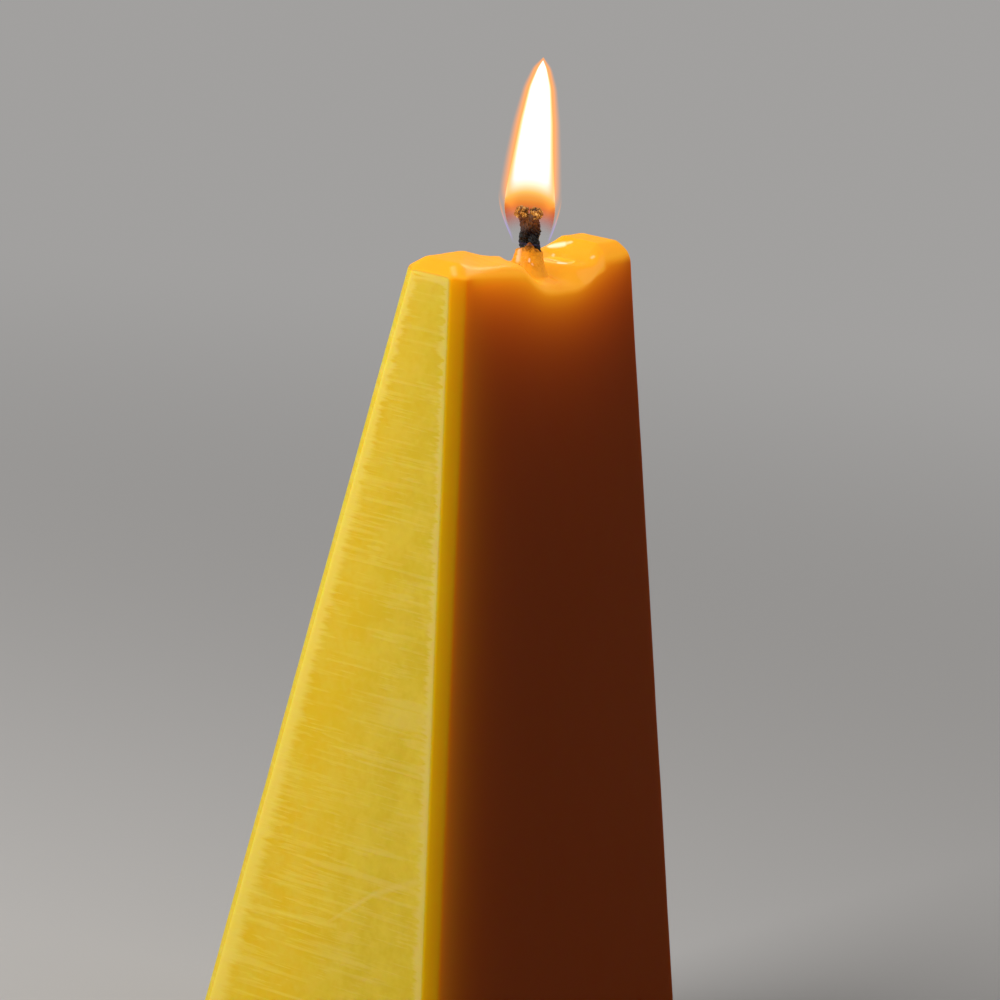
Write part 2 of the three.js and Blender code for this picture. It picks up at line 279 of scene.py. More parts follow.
@dataclass(frozen=True)
class MeltedTop:
    """The surface that the flame has melted into the top, as a depth below the unmelted top."""

    half_depth: float = 5.5
    crease_back: float = -11.6
    crease_front: float = -23.1
    crease_edge: float = 3.55
    step: float = 1.05
    step_run: float = 2.2
    fall: float = 0.095
    rise: float = 0.9
    lift: float = 0.45
    wick_x: float = 2.0
    left_power: float = 2.4
    hollow_centre: float = 9.6
    hollow_reach: float = 6.0
    hollow_depth: float = 3.1
    hollow_rise: float = 1.9
    hollow_least: float = 0.2
    hollow_power: float = 4.5
    highest: float = 3.0
    skirt_neck: float = 2.2
    skirt_top: float = 0.9
    skirt_drop: float = 4.3
    skirt_run: float = 0.85
    skirt_tail: float = 0.14
    skirt_softness: float = 1.1
    softness: float = 0.8
    samples: int = 301
    blur: int = 20
    slope_step: float = 0.05

    # Place across the depth, left edge, right edge, depth and steepness of each section of the cup
    SECTIONS = (
        (-1.5, -8.6, 15.9, 5.65, 3.9),
        (-1.05, -8.5, 15.7, 5.45, 3.6),
        (-0.8, -7.6, 13.6, 5.3, 2.8),
        (-0.5, -6.6, 11.2, 5.2, 2.4),
        (0.0, -5.8, 9.6, 5.0, 2.3),
        (0.45, -3.4, 9.6, 4.4, 2.4),
        (0.85, -0.8, 10.8, 3.3, 2.6),
        (1.5, -0.4, 11.0, 2.8, 2.6),
    )

    def shelf(self, x: Array, y: Array) -> Array:
        """Depth of the flat shelf on the left of the wick."""
        run = self.crease_back - self.crease_front
        rise = 2 * self.crease_edge
        past = ((x - self.crease_back) * rise - (y - self.crease_edge) * run) / math.hypot(run, rise)
        stepped = self.step * (1 - np.exp(-np.maximum(past, 0) / self.step_run))
        fall = self.fall * np.maximum(0, x - self.crease_back)
        end = self.rise * np.maximum(0, x - self.wick_x)
        return np.where(past < 0, self.lift * past, stepped + fall - end)

    def section(self, at: Array) -> Array:
        """Left edge, right edge, depth and steepness of the cup at places across the depth."""
        table = np.array(self.SECTIONS)
        fine = np.linspace(table[0, 0], table[-1, 0], self.samples)
        kernel = np.exp(-np.linspace(-2, 2, 2 * self.blur + 1) ** 2)
        kernel /= kernel.sum()
        columns = []
        for column in table[:, 1:].T:
            values = np.interp(fine, table[:, 0], column)
            padded = np.pad(values, self.blur, mode="edge")
            smoothed = np.convolve(padded, kernel, mode="valid")
            columns.append(np.interp(at, fine, smoothed))
        return np.array(columns)

    def cup(self, x: Array, y: Array) -> Array:
        """Depth of the cup round the wick."""
        left, right, depth, steep = self.section(y / self.half_depth)
        middle = (left + right) / 2
        power = np.where(x < middle, self.left_power, steep)
        across = np.abs(x - middle) / ((right - left) / 2)
        return depth * (1 - across**power)

    def skirt(self, radius: Array) -> Array:
        """Depth of the cone of wax that spreads from the wick, at distances from its middle."""
        spread = radius - self.skirt_neck
        fallen = self.skirt_drop * (1 - np.exp(-spread / self.skirt_run))
        return self.skirt_top + fallen + self.skirt_tail * spread

    def hollow(self, x: Array, y: Array) -> Array:
        """Depth of the hollow that holds the liquid wax."""
        across = np.abs(x - self.hollow_centre) / self.hollow_reach
        back = np.maximum(0, y / self.half_depth)
        depth = np.maximum(self.hollow_least, self.hollow_depth - self.hollow_rise * back * back)
        return depth * (1 - across**self.hollow_power)

    def depth(self, x: Array, y: Array) -> Array:
        """Depth of the melted surface, negative where nothing has melted."""
        melted = smooth_max(self.shelf(x, y), self.cup(x, y), self.softness)
        hollowed = np.maximum(smooth_max(melted, self.hollow(x, y), self.softness), -self.highest)
        skirt = self.skirt(np.hypot(x - self.wick_x, y))
        return -smooth_max(-hollowed, -skirt, self.skirt_softness)

    def slope(self, x: Array, y: Array) -> Array:
        """Length of the surface's normal before it is made a unit, 1 where the surface is level."""
        step = self.slope_step
        dx = (self.depth(x + step, y) - self.depth(x - step, y)) / (2 * step)
        dy = (self.depth(x, y + step) - self.depth(x, y - step)) / (2 * step)
        return np.sqrt(1 + dx * dx + dy * dy)


@dataclass(frozen=True)
class CastWedge:
    """The solid wedge of wax: cast faces, chamfered edges and the melted top."""

    melted: MeltedTop = MeltedTop()
    height: float = 150.0
    base_half: Pair = (40.0, 26.5)
    top_half: Pair = (26.0, 5.5)
    upright_chamfer: float = 2.1
    top_chamfer: Pair = (2.9, 1.95)
    top_drop: float = 1.8
    corner_blunt: float = 0.3
    base_chamfer: float = 1.5
    edge_softness: float = 0.34
    crease_softness: float = 0.3
    rim_softness: float = 2.0
    shoulder_softness: float = 1.2
    shoulder_span: Pair = (-22.0, -6.0)
    cup_left: Pair = (-14.0, -4.0)
    cup_right: Pair = (16.0, 19.0)
    probe_depth: float = 12.0
    probe_reach: float = 14.0
    top_edge_gap: float = 0.1

    @staticmethod
    def folded(p: Array) -> tuple[Array, Array, Array]:
        """Distances from the middle along X and Y, and heights."""
        return np.abs(p[:, 0]), np.abs(p[:, 1]), p[:, 2]

    def half_at(self, z: Array, axis: int) -> Array:
        """Half the wedge's length or depth at a height, before its edges are chamfered."""
        fall = (self.base_half[axis] - self.top_half[axis]) / self.height
        return self.base_half[axis] - fall * z

    def upright_faces(self, p: Array) -> Array:
        """Distance outside the side faces and their chamfers, rounded at the edges."""
        ax, ay, z = self.folded(p)
        a, b = self.half_at(z, 0), self.half_at(z, 1)
        lean = [(self.base_half[i] - self.top_half[i]) / self.height for i in (0, 1)]
        end = (ax - a) / math.hypot(1, lean[0])
        side = (ay - b) / math.hypot(1, lean[1])
        corner = (ax + ay - (a + b - self.upright_chamfer)) / math.sqrt(2 + sum(lean) ** 2)
        return smooth_max(smooth_max(end, side, self.edge_softness), corner, self.edge_softness)

    def top_faces(self, p: Array) -> Array:
        """Distance above the cast top and its chamfers."""
        ax, ay, z = self.folded(p)
        shoulder = self.height - self.top_drop
        outer = [float(self.half_at(shoulder, i)) for i in (0, 1)]
        inner = [self.top_half[i] - self.top_chamfer[i] for i in (0, 1)]
        field = z - self.height
        starts = (inner[0], inner[1], inner[0] + inner[1] - self.corner_blunt)
        ends = (outer[0], outer[1], outer[0] + outer[1] - self.upright_chamfer)
        for reach, start, end, span in zip((ax, ay, ax + ay), starts, ends, (1, 1, 2)):
            fall = self.top_drop / (end - start)
            bevel = (z - self.height + (reach - start) * fall) / math.sqrt(1 + span * fall * fall)
            field = smooth_max(field, bevel, self.crease_softness)
        return field

    def field(self, p: Array) -> Array:
        """Distance outside the wedge, negative inside it."""
        x, y, z = p.T
        shoulder = (self.shoulder_softness - self.edge_softness) * smooth_step(x, *self.shoulder_span)
        cast = smooth_max(self.upright_faces(p), self.top_faces(p), self.edge_softness + shoulder)
        melt = (z - self.height + self.melted.depth(x, y)) / self.melted.slope(x, y)
        in_cup = smooth_step(x, *self.cup_left) * (1 - smooth_step(x, *self.cup_right))
        softness = self.crease_softness + (self.rim_softness - self.crease_softness) * in_cup
        return smooth_max(cast, melt, softness)

    def top_at(self, x: Array, y: Array) -> Array:
        """Height of the wax at places on the top."""
        origin = np.stack([x, y, np.full_like(x, self.height - self.probe_depth)], axis=1)
        up = np.tile([0.0, 0.0, 1.0], (len(x), 1))
        return crossing(self.field, origin, up, self.probe_reach)[:, 2]

    def corners(self, z: Array) -> Array:
        """The eight corners of the outline at each height, anticlockwise from above."""
        a, b, cut = self.half_at(z, 0), self.half_at(z, 1), self.upright_chamfer
        xs = [a - cut, a, a, a - cut, cut - a, -a, -a, cut - a]
        ys = [-b, cut - b, b - cut, b, b, b - cut, cut - b, -b]
        return np.stack([np.stack(xs), np.stack(ys)], axis=-1)

    def edge_distance(self, p: Array) -> Array:
        """Distance from the nearest upright or top edge, across the face that a point lies on."""
        ax, ay, z = self.folded(p)
        a = self.half_at(z, 0) - self.upright_chamfer
        b = self.half_at(z, 1) - self.upright_chamfer
        top_edge = np.abs(self.height - self.top_drop - z) + self.top_edge_gap
        return np.minimum(np.maximum(a - ax, b - ay), top_edge)


@dataclass(frozen=True)
class InnerLight:
    """The light of the flame that the wax takes in at its melted top and lets out again.

    Red and green each have their own numbers, and blue follows from green.
    """

    reach: Pair = (36.1, 25.4)
    softening: Pair = (2.51, 0.44)
    gain: Pair = (3.9, 1.50)
    ceiling: Pair = (2.0, 0.8)
    evenness: Pair = (0.0, 0.3)
    blue_share: float = 0.3
    molten: Colour = (0.78, 0.285, 0.014)
    flame_span: Pair = (5.0, 24.0)
    flame_lights: int = 6
    flame_aside: float = 1.0
    half_length: float = 22.0
    half_depth: float = 5.0
    spacing: float = 1.0
    sunk: float = 0.4
    dark_below: float = 75.0
    full_above: float = 45.0
    chunks: int = 40

    def sources(self, wedge: CastWedge) -> tuple[Array, Array]:
        """Places just under the melted top and how strongly the flame lights each.

        Args:
            wedge: The wax.

        Returns:
            The places and their strengths.
        """
        along = np.arange(-self.half_length, self.half_length + self.spacing / 2, self.spacing)
        across = np.arange(-self.half_depth, self.half_depth + self.spacing / 2, self.spacing)
        x, y = (grid.ravel() for grid in np.meshgrid(along, across))
        places = np.stack([x, y, wedge.top_at(x, y) - self.sunk], axis=1)
        strength = np.zeros(len(x))
        for lift in np.linspace(*self.flame_span, self.flame_lights):
            light = np.array([wedge.melted.wick_x - self.flame_aside, 0.0, wedge.height + lift])
            away = light - places
            strength += np.maximum(away[:, 2], 0) / np.linalg.norm(away, axis=1) ** 3
        return places, strength

    def at(self, wedge: CastWedge, points: Array, melted: Array) -> Array:
        """Light that leaves the wax at points on its surface.

        Args:
            wedge: The wax.
            points: Points on the surface.
            melted: How much of each point is melted wax, from 0 to 1.

        Returns:
            One colour for each point.
        """
        places, strength = self.sources(wedge)
        light = np.zeros((len(points), 3))
        dark, full = wedge.height - self.dark_below, wedge.height - self.full_above
        for chunk in np.array_split(np.flatnonzero(points[:, 2] > dark), self.chunks):
            gap = np.linalg.norm(points[chunk, None] - places[None], axis=2)
            for channel in range(2):
                spread = strength ** self.evenness[channel] / (gap + self.softening[channel]) ** 3
                value = self.gain[channel] * (spread * np.exp(-gap / self.reach[channel])).sum(axis=1)
                light[chunk, channel] = value / (1 + value / self.ceiling[channel])
        light[:, 2] = self.blue_share * light[:, 1] ** 3
        fade = smooth_step(points[:, 2], dark, full)
        return light * fade[:, None] * (1 - melted[:, None]) + np.array(self.molten) * melted[:, None]


@dataclass(frozen=True)
class Stroke:
    """A short soft line on a surface, such as a painted highlight of the flame or a scratch."""

    start: Point
    end: Point
    width: float
    strength: float


# Colour of the painted highlights: the flame's reflections, painted into the emission of wet wax
PAINTED_HIGHLIGHT_COLOUR: Colour = (1.0, 0.92, 0.70)

# Most of a noise lies in this range
NOISE_RANGE: Pair = (0.3, 0.7)


class Graph:
    """Adds nodes to one node tree and joins them."""

    stroke_core = 0.1

    def __init__(self, tree: bpy.types.NodeTree) -> None:
        """Keep the tree."""
        self.tree = tree

    def add(self, kind: str, inputs: dict[str | int, Value], **settings: object) -> bpy.types.Node:
        """Add a node.

        Args:
            kind: Name of the node's type.
            inputs: Value of, or socket that feeds, each named or numbered input.
            settings: The node's own settings.

        Returns:
            The node.
        """
        node = self.tree.nodes.new(kind)
        for name, setting in settings.items():
            setattr(node, name, setting)
        for name, value in inputs.items():
            self.feed(node.inputs[name], value)
        return node

    def feed(self, socket: Socket, value: Value) -> None:
        """Join a socket to another one, or set its value."""
        if isinstance(value, bpy.types.NodeSocket):
            self.tree.links.new(value, socket)
        elif isinstance(value, (tuple, list)) and socket.type == "RGBA" and len(value) == 3:
            socket.default_value = (*value, 1.0)
        else:
            socket.default_value = value

    def carried(self, field: Field) -> Socket:
        """Read a number that the mesh carries."""
        return self.add("ShaderNodeAttribute", {}, attribute_name=field.value).outputs["Fac"]

    def glow(self) -> Socket:
        """Read the light that the mesh carries."""
        return self.add("ShaderNodeAttribute", {}, attribute_name=Field.GLOW.value).outputs["Color"]

    def vector(self, operation: str, inputs: dict[str | int, Value], output: str = "Vector") -> Socket:
        """Work out a vector, or one number, from vectors."""
        return self.add("ShaderNodeVectorMath", inputs, operation=operation).outputs[output]

    def place(self) -> Socket:
        """Position in millimetres."""
        source = self.add("ShaderNodeTexCoord", {}).outputs["Object"]
        return self.vector("SCALE", {0: source, "Scale": 1 / METRES})

    def parts(self, vector: Value) -> bpy.types.NodeOutputs:
        """The X, Y and Z parts of a vector."""
        return self.add("ShaderNodeSeparateXYZ", {0: vector}).outputs

    def height(self, vector: Value) -> Socket:
        """The height part of a position."""
        return self.parts(vector)[2]

    def squeeze(self, vector: Value, scale: Point) -> Socket:
        """Scale a position by a different number on each axis."""
        return self.vector("MULTIPLY", {0: vector, 1: scale})

    def math(self, operation: str, a: Value, b: Value = 0.0, clamp: bool = False) -> Socket:
        """Work out one number from two."""
        return self.add("ShaderNodeMath", {0: a, 1: b}, operation=operation, use_clamp=clamp).outputs[0]

    def times(self, a: Value, b: Value) -> Socket:
        """Multiply two numbers."""
        return self.math("MULTIPLY", a, b)

    def plus(self, a: Value, b: Value) -> Socket:
        """Add two numbers."""
        return self.math("ADD", a, b)

    def minus(self, a: Value, b: Value) -> Socket:
        """Take one number from another."""
        return self.math("SUBTRACT", a, b)

    def larger(self, a: Value, b: Value) -> Socket:
        """Take the larger of two numbers."""
        return self.math("MAXIMUM", a, b)

    def remap(self, value: Value, start: Value, end: Value, low: float = 0.0, high: float = 1.0) -> Socket:
        """Turn the range from start to end into low to high, smoothly and clamped."""
        inputs = {"Value": value, "From Min": start, "From Max": end, "To Min": low, "To Max": high}
        return self.add("ShaderNodeMapRange", inputs, interpolation_type="SMOOTHSTEP").outputs[0]

    def noise(self, vector: Value, scale: Value, detail: float, distortion: float = 0.0) -> Socket:
        """Noise from 0 to 1."""
        inputs = {"Vector": vector, "Scale": scale, "Detail": detail, "Distortion": distortion}
        return self.add("ShaderNodeTexNoise", inputs).outputs[0]

    def blend(self, factor: Value, a: Value, b: Value, mode: str = "MIX") -> Socket:
        """Mix two colours."""
        settings = {"data_type": "RGBA", "blend_type": mode, "clamp_factor": True}
        return self.add("ShaderNodeMix", {0: factor, 6: a, 7: b}, **settings).outputs[2]

    def between(self, factor: Value, a: Value, b: Value) -> Socket:
        """Mix two numbers."""
        settings = {"data_type": "FLOAT", "clamp_factor": True}
        return self.add("ShaderNodeMix", {0: factor, 2: a, 3: b}, **settings).outputs[0]

    def ramp(self, factor: Value, stops: Stops) -> Socket:
        """Turn a number from 0 to 1 into a colour."""
        node = self.add("ShaderNodeValToRGB", {0: factor})
        elements = node.color_ramp.elements
        while len(elements) < len(stops):
            elements.new(1.0)
        for element, (position, colour) in zip(elements, stops):
            element.position = position
            element.color = (*colour, 1.0)
        return node.outputs[0]

    def stroke(self, place: Value, line: Stroke) -> Socket:
        """Mark what lies near a line: its strength on the line itself, and 0 at its width."""
        run = [b - a for a, b in zip(line.start, line.end)]
        along = [part / sum(side * side for side in run) for part in run]
        past = self.vector("SUBTRACT", {0: place, 1: line.start})
        share = self.vector("DOT_PRODUCT", {0: past, 1: along}, "Value")
        foot = self.vector("SCALE", {0: run, "Scale": self.math("MAXIMUM", share, 0.0, clamp=True)})
        away = self.vector("DISTANCE", {0: past, 1: foot}, "Value")
        return self.times(self.remap(away, line.width, self.stroke_core * line.width), line.strength)

    def strokes(self, place: Value, lines: Sequence[Stroke]) -> Socket:
        """Join several lines into one mask."""
        mask: Value = 0.0
        for line in lines:
            mask = self.larger(mask, self.stroke(place, line))
        return mask

    def bump(self, height: Value, distance: float, strength: float = 1.0) -> Socket:
        """Turn a height from 0 to 1 into a normal, with a distance in millimetres."""
        inputs = {"Height": height, "Distance": distance * METRES, "Strength": strength}
        return self.add("ShaderNodeBump", inputs).outputs[0]

    def principled(self, inputs: dict[str | int, Value]) -> Socket:
        """Add the Principled shader."""
        return self.add("ShaderNodeBsdfPrincipled", inputs).outputs[0]


class Effect:
    """A shader node group that several finishes share."""

    name = "effect"
    numbers: dict[str, float] = {}

    def tree(self) -> bpy.types.NodeTree:
        """Get the group, made on first use."""
        found = bpy.data.node_groups.get(self.name)
        if found:
            return found
        tree = bpy.data.node_groups.new(self.name, "ShaderNodeTree")
        tree.interface.new_socket("Position", in_out="INPUT", socket_type="NodeSocketVector")
        for label, value in self.numbers.items():
            socket = tree.interface.new_socket(label, in_out="INPUT", socket_type="NodeSocketFloat")
            socket.default_value = value
        tree.interface.new_socket("Mask", in_out="OUTPUT", socket_type="NodeSocketFloat")
        graph = Graph(tree)
        source = graph.add("NodeGroupInput", {})
        graph.add("NodeGroupOutput", {"Mask": self.build(graph, source.outputs)})
        return tree

    def build(self, graph: Graph, given: bpy.types.NodeOutputs) -> Socket:
        """Make the group's nodes and return the socket of its mask."""
        raise NotImplementedError

    def use(self, graph: Graph, position: Value, **values: Value) -> Socket:
        """Place the group in a finish.

        Args:
            graph: The finish's nodes.
            position: Position in millimetres.
            values: The group's own values.

        Returns:
            The socket of its mask.
        """
        inputs = {"Position": position, **values}
        node = graph.add("ShaderNodeGroup", {}, node_tree=self.tree())
        for label, value in inputs.items():
            graph.feed(node.inputs[label], value)
        return node.outputs["Mask"]


class Streaks(Effect):
    """Level streaks that a drawn tool or a rubbed cloth leaves on wax."""

    name = "level_streaks"
    numbers = {"Length": 12.0, "Width": 0.7, "Amount": 0.5}
    run_scale = (2.1, 2.1, 0.21)
    run_share = 0.35
    highest_cut = 0.78
    cut_drop = 0.4
    softness = (0.08, 0.04)

    def build(self, graph: Graph, given: bpy.types.NodeOutputs) -> Socket:
        """Long thin noise, broken into shorter runs."""
        sizes = enumerate(("Length", "Length", "Width"))
        parts = graph.parts(given["Position"])
        scaled = {axis: graph.math("DIVIDE", parts[axis], given[size]) for axis, size in sizes}
        thin = graph.add("ShaderNodeCombineXYZ", scaled).outputs[0]
        lines = graph.noise(thin, 1.0, detail=2.0, distortion=0.15)
        runs = graph.noise(graph.squeeze(thin, self.run_scale), 1.0, detail=2.0, distortion=0.4)
        cut = graph.minus(self.highest_cut, graph.times(given["Amount"], self.cut_drop))
        start, end = graph.minus(cut, self.softness[0]), graph.plus(cut, self.softness[1])
        return graph.remap(graph.between(self.run_share, lines, runs), start, end)


class Grain(Effect):
    """Fine unevenness, as a height for bumps and a mask for colour."""

    name = "fine_grain"
    numbers = {"Size": 1.0, "Sharpness": 0.5}
    finer = 4.3

    def build(self, graph: Graph, given: bpy.types.NodeOutputs) -> Socket:
        """Two sizes of noise."""
        scale = graph.math("DIVIDE", 1.0, given["Size"])
        coarse = graph.noise(given["Position"], scale, detail=3.0)
        fine = graph.noise(given["Position"], graph.times(scale, self.finer), detail=2.0)
        return graph.between(given["Sharpness"], coarse, fine)


class RubbedEdge(Effect):
    """Pale rubbing along an edge, with a ragged inner side."""

    name = "rubbed_edge"
    numbers = {"Distance": 0.0, "Reach": 1.6, "Raggedness": 1.5}
    comb_scale = (0.15, 0.15, 1.5)
    comb_swing = 5.0
    least_reach = 0.5
    solid_share = 0.4
    edge_width = 0.12

    def build(self, graph: Graph, given: bpy.types.NodeOutputs) -> Socket:
        """Compare the distance from the edge with a reach that varies along it."""
        stretched = graph.squeeze(given["Position"], self.comb_scale)
        comb = graph.noise(stretched, 1.0, detail=5.0, distortion=0.2)
        ragged = graph.times(graph.minus(comb, 0.5), given["Raggedness"])
        swung = graph.plus(given["Reach"], graph.times(ragged, self.comb_swing))
        limit = graph.larger(swung, self.least_reach)
        rubbed = graph.remap(given["Distance"], limit, graph.times(limit, self.solid_share))
        return graph.times(rubbed, graph.remap(given["Distance"], 0.0, self.edge_width))


class SoakedClots(Effect):
    """Dark clots and veins in wax that has soaked up the wick's soot."""

    name = "soaked_clots"
    numbers = {"Soak": 1.0}
    large_scale = 0.75
    small_scale = 2.6
    small_share = 0.4
    clot_range = (0.40, 0.62)
    clot_share = 0.55

    def build(self, graph: Graph, given: bpy.types.NodeOutputs) -> Socket:
        """Clots of two sizes, thinned out where the wax is clean."""
        large = graph.noise(given["Position"], self.large_scale, detail=4.0, distortion=0.8)
        small = graph.noise(given["Position"], self.small_scale, detail=3.0, distortion=0.5)
        clots = graph.remap(graph.between(self.small_share, large, small), *self.clot_range)
        darkness = graph.plus(graph.times(clots, self.clot_share), 1 - self.clot_share)
        return graph.times(darkness, given["Soak"])


@dataclass(frozen=True)
class Finish:
    """A material made of shader nodes."""

    name: str = "finish"

    def material(self) -> bpy.types.Material:
        """Make the material."""
        material = bpy.data.materials.new(self.name)
        material.use_nodes = True
        material.node_tree.nodes.clear()
        graph = Graph(material.node_tree)
        graph.add("ShaderNodeOutputMaterial", {"Surface": self.surface(graph)})
        return material

    def surface(self, graph: Graph) -> Socket:
        """Make the shader."""
        raise NotImplementedError


@dataclass(frozen=True)
class Beeswax(Finish):
    """Cast beeswax: translucent amber, with pale bloom, streaks and rubbed edges."""

    name: str = "beeswax"
    molten: Colour = (0.38, 0.20, 0.008)
    honey: Colour = (0.70, 0.46, 0.018)
    straw: Colour = (0.59, 0.42, 0.024)
    bloom: Colour = (0.70, 0.52, 0.06)
    rubbed: Colour = (0.76, 0.60, 0.10)
    rubbed_near: Colour = (0.66, 0.49, 0.11)
    soaked: Colour = (0.40, 0.10, 0.004)
    soaked_light: Colour = (0.50, 0.13, 0.004)
    scatter: Colour = (1.0, 0.36, 0.06)
    scatter_depth: float = 6.0
    far_span: Pair = (-9.0, 9.0)
    rubbing_reach: Pair = (1.2, 2.3)
    rubbing_heights: Pair = (145.0, 40.0)
    rubbing_widening: float = 1.7
    haze_range: Pair = (0.35, 0.7)
    haze_most: float = 0.55
    streak_share: float = 0.42
    rubbing_share: float = 0.8
    roughness: Pair = (0.45, 0.62)
    wet_roughness: float = 0.3

    # Painted highlights: reflections of the flame on the wet bowl and the melted top, painted into the
    # emission
    PAINTED_HIGHLIGHTS = (
        Stroke((14.3, 3.9, 148.3), (15.3, 1.9, 148.9), 0.85, 0.85),
        Stroke((15.3, 1.9, 148.9), (15.9, 1.0, 149.3), 0.60, 0.5),
        Stroke((12.3, 1.9, 147.2), (12.9, 2.2, 147.3), 0.40, 0.35),
        Stroke((14.5, -4.3, 147.9), (14.8, -4.4, 148.0), 0.45, 0.3),
        Stroke((-24.2, -2.9, 149.4), (-25.1, -3.9, 148.5), 0.75, 0.12),
    )
    SCRATCHES = (
        Stroke((-36.1, 0.3, 41.9), (-35.7, -3.5, 45.2), 0.5, 0.35),
        Stroke((-35.7, -3.5, 45.2), (-35.4, -7.8, 48.8), 0.6, 0.55),
        Stroke((-35.4, -7.8, 48.8), (-35.2, -12.4, 51.2), 0.8, 0.5),
        Stroke((-35.2, -12.4, 51.2), (-35.0, -16.0, 52.9), 1.1, 0.4),
        Stroke((-36.2, 15.9, 40.7), (-36.1, -1.2, 41.8), 0.7, 0.4),
    )

    # Share of the depth and colour of the clean wax there; the deep end also serves as painted shade on
    # the faces that lie in shade
    DEPTHS_AND_SHADE = (
        (0.0, (0.74, 0.48, 0.003)),
        (0.2, (0.71, 0.36, 0.003)),
        (0.45, (0.63, 0.27, 0.002)),
        (0.61, (0.54, 0.195, 0.0015)),
        (0.8, (0.44, 0.122, 0.001)),
        (0.95, (0.355, 0.064, 0.001)),
        (1.0, (0.33, 0.050, 0.001)),
    )

    def streaks(self, graph: Graph, place: Socket) -> Socket:
        """Long streaks and fainter short ones."""
        long_streaks = Streaks().use(graph, place, Length=30.0, Width=1.1, Amount=0.46)
        short_streaks = Streaks().use(graph, place, Length=9.0, Width=0.5, Amount=0.44)
        return graph.larger(long_streaks, graph.times(short_streaks, 0.8))

    def rubbing(self, graph: Graph, place: Socket, far_side: Socket) -> Socket:
        """Rubbing along the upright edges, wider on the far side and lower down."""
        widened = graph.remap(graph.height(place), *self.rubbing_heights, 1.0, self.rubbing_widening)
        reach = graph.times(graph.between(far_side, *self.rubbing_reach), widened)
        edge = graph.carried(Field.EDGE)
        return RubbedEdge().use(graph, place, Distance=edge, Reach=reach, Raggedness=1.1)

    def surface(self, graph: Graph) -> Socket:
        """Lay bloom, streaks and rubbing over the amber, whose depth is partly painted shade, and paint
        highlights of the flame into the glow.
        """
        place = graph.place()
        bloom, wet = graph.carried(Field.BLOOM_AND_LIGHT), graph.carried(Field.WET)
        far_side = graph.remap(graph.parts(place)[1], *self.far_span)
        cloud = Grain().use(graph, place, Size=6.0, Sharpness=0.35)
        fine = Grain().use(graph, place, Size=0.5, Sharpness=0.5)
        clots = SoakedClots().use(graph, place, Soak=graph.carried(Field.SOAK))
        haze = graph.times(bloom, graph.remap(cloud, *self.haze_range, 0.0, self.haze_most))
        marks = graph.times(bloom, self.streaks(graph, place))
        worn = graph.times(bloom, self.rubbing(graph, place, far_side))
        # The deeper amber is partly painted shade
        amber = graph.ramp(graph.carried(Field.DEPTH_AND_SHADE), self.DEPTHS_AND_SHADE)
        # Bloom makes the wax paler, and given by face it also paints the lit left end lighter
        cast = graph.blend(bloom, amber, graph.blend(far_side, self.straw, self.honey))
        hazed = graph.blend(haze, cast, self.bloom)
        pale = graph.blend(far_side, self.rubbed_near, self.rubbed)
        streaked = graph.blend(graph.times(marks, self.streak_share), hazed, pale)
        rubbed = graph.blend(graph.times(worn, self.rubbing_share), streaked, pale)
        scratched = graph.blend(graph.strokes(place, self.SCRATCHES), rubbed, pale)
        melted = graph.blend(graph.carried(Field.MELT), scratched, self.molten)
        dry = graph.between(graph.larger(haze, worn), *self.roughness)
        relief = graph.plus(fine, graph.times(graph.plus(marks, worn), 0.8))
        # The glow of the wax, darker where soot clots lie
        clotted_glow = graph.blend(graph.times(clots, 0.75), graph.glow(), self.soaked_light)
        return graph.principled(
            {
                "Base Color": graph.blend(clots, melted, self.soaked),
                "Roughness": graph.between(wet, dry, self.wet_roughness),
                "IOR": 1.44,
                "Specular IOR Level": 0.05,
                "Coat Weight": graph.times(wet, 0.22),
                "Coat Roughness": 0.08,
                "Subsurface Weight": 0.9,
                "Subsurface Radius": self.scatter,
                "Subsurface Scale": self.scatter_depth * METRES,
                "Normal": graph.bump(relief, 0.02, 0.6),
                # The emission carries the glow and the painted highlights
                "Emission Color": graph.blend(graph.strokes(place, self.PAINTED_HIGHLIGHTS), clotted_glow, PAINTED_HIGHLIGHT_COLOUR),
                "Emission Strength": 1.0,
            }
        )


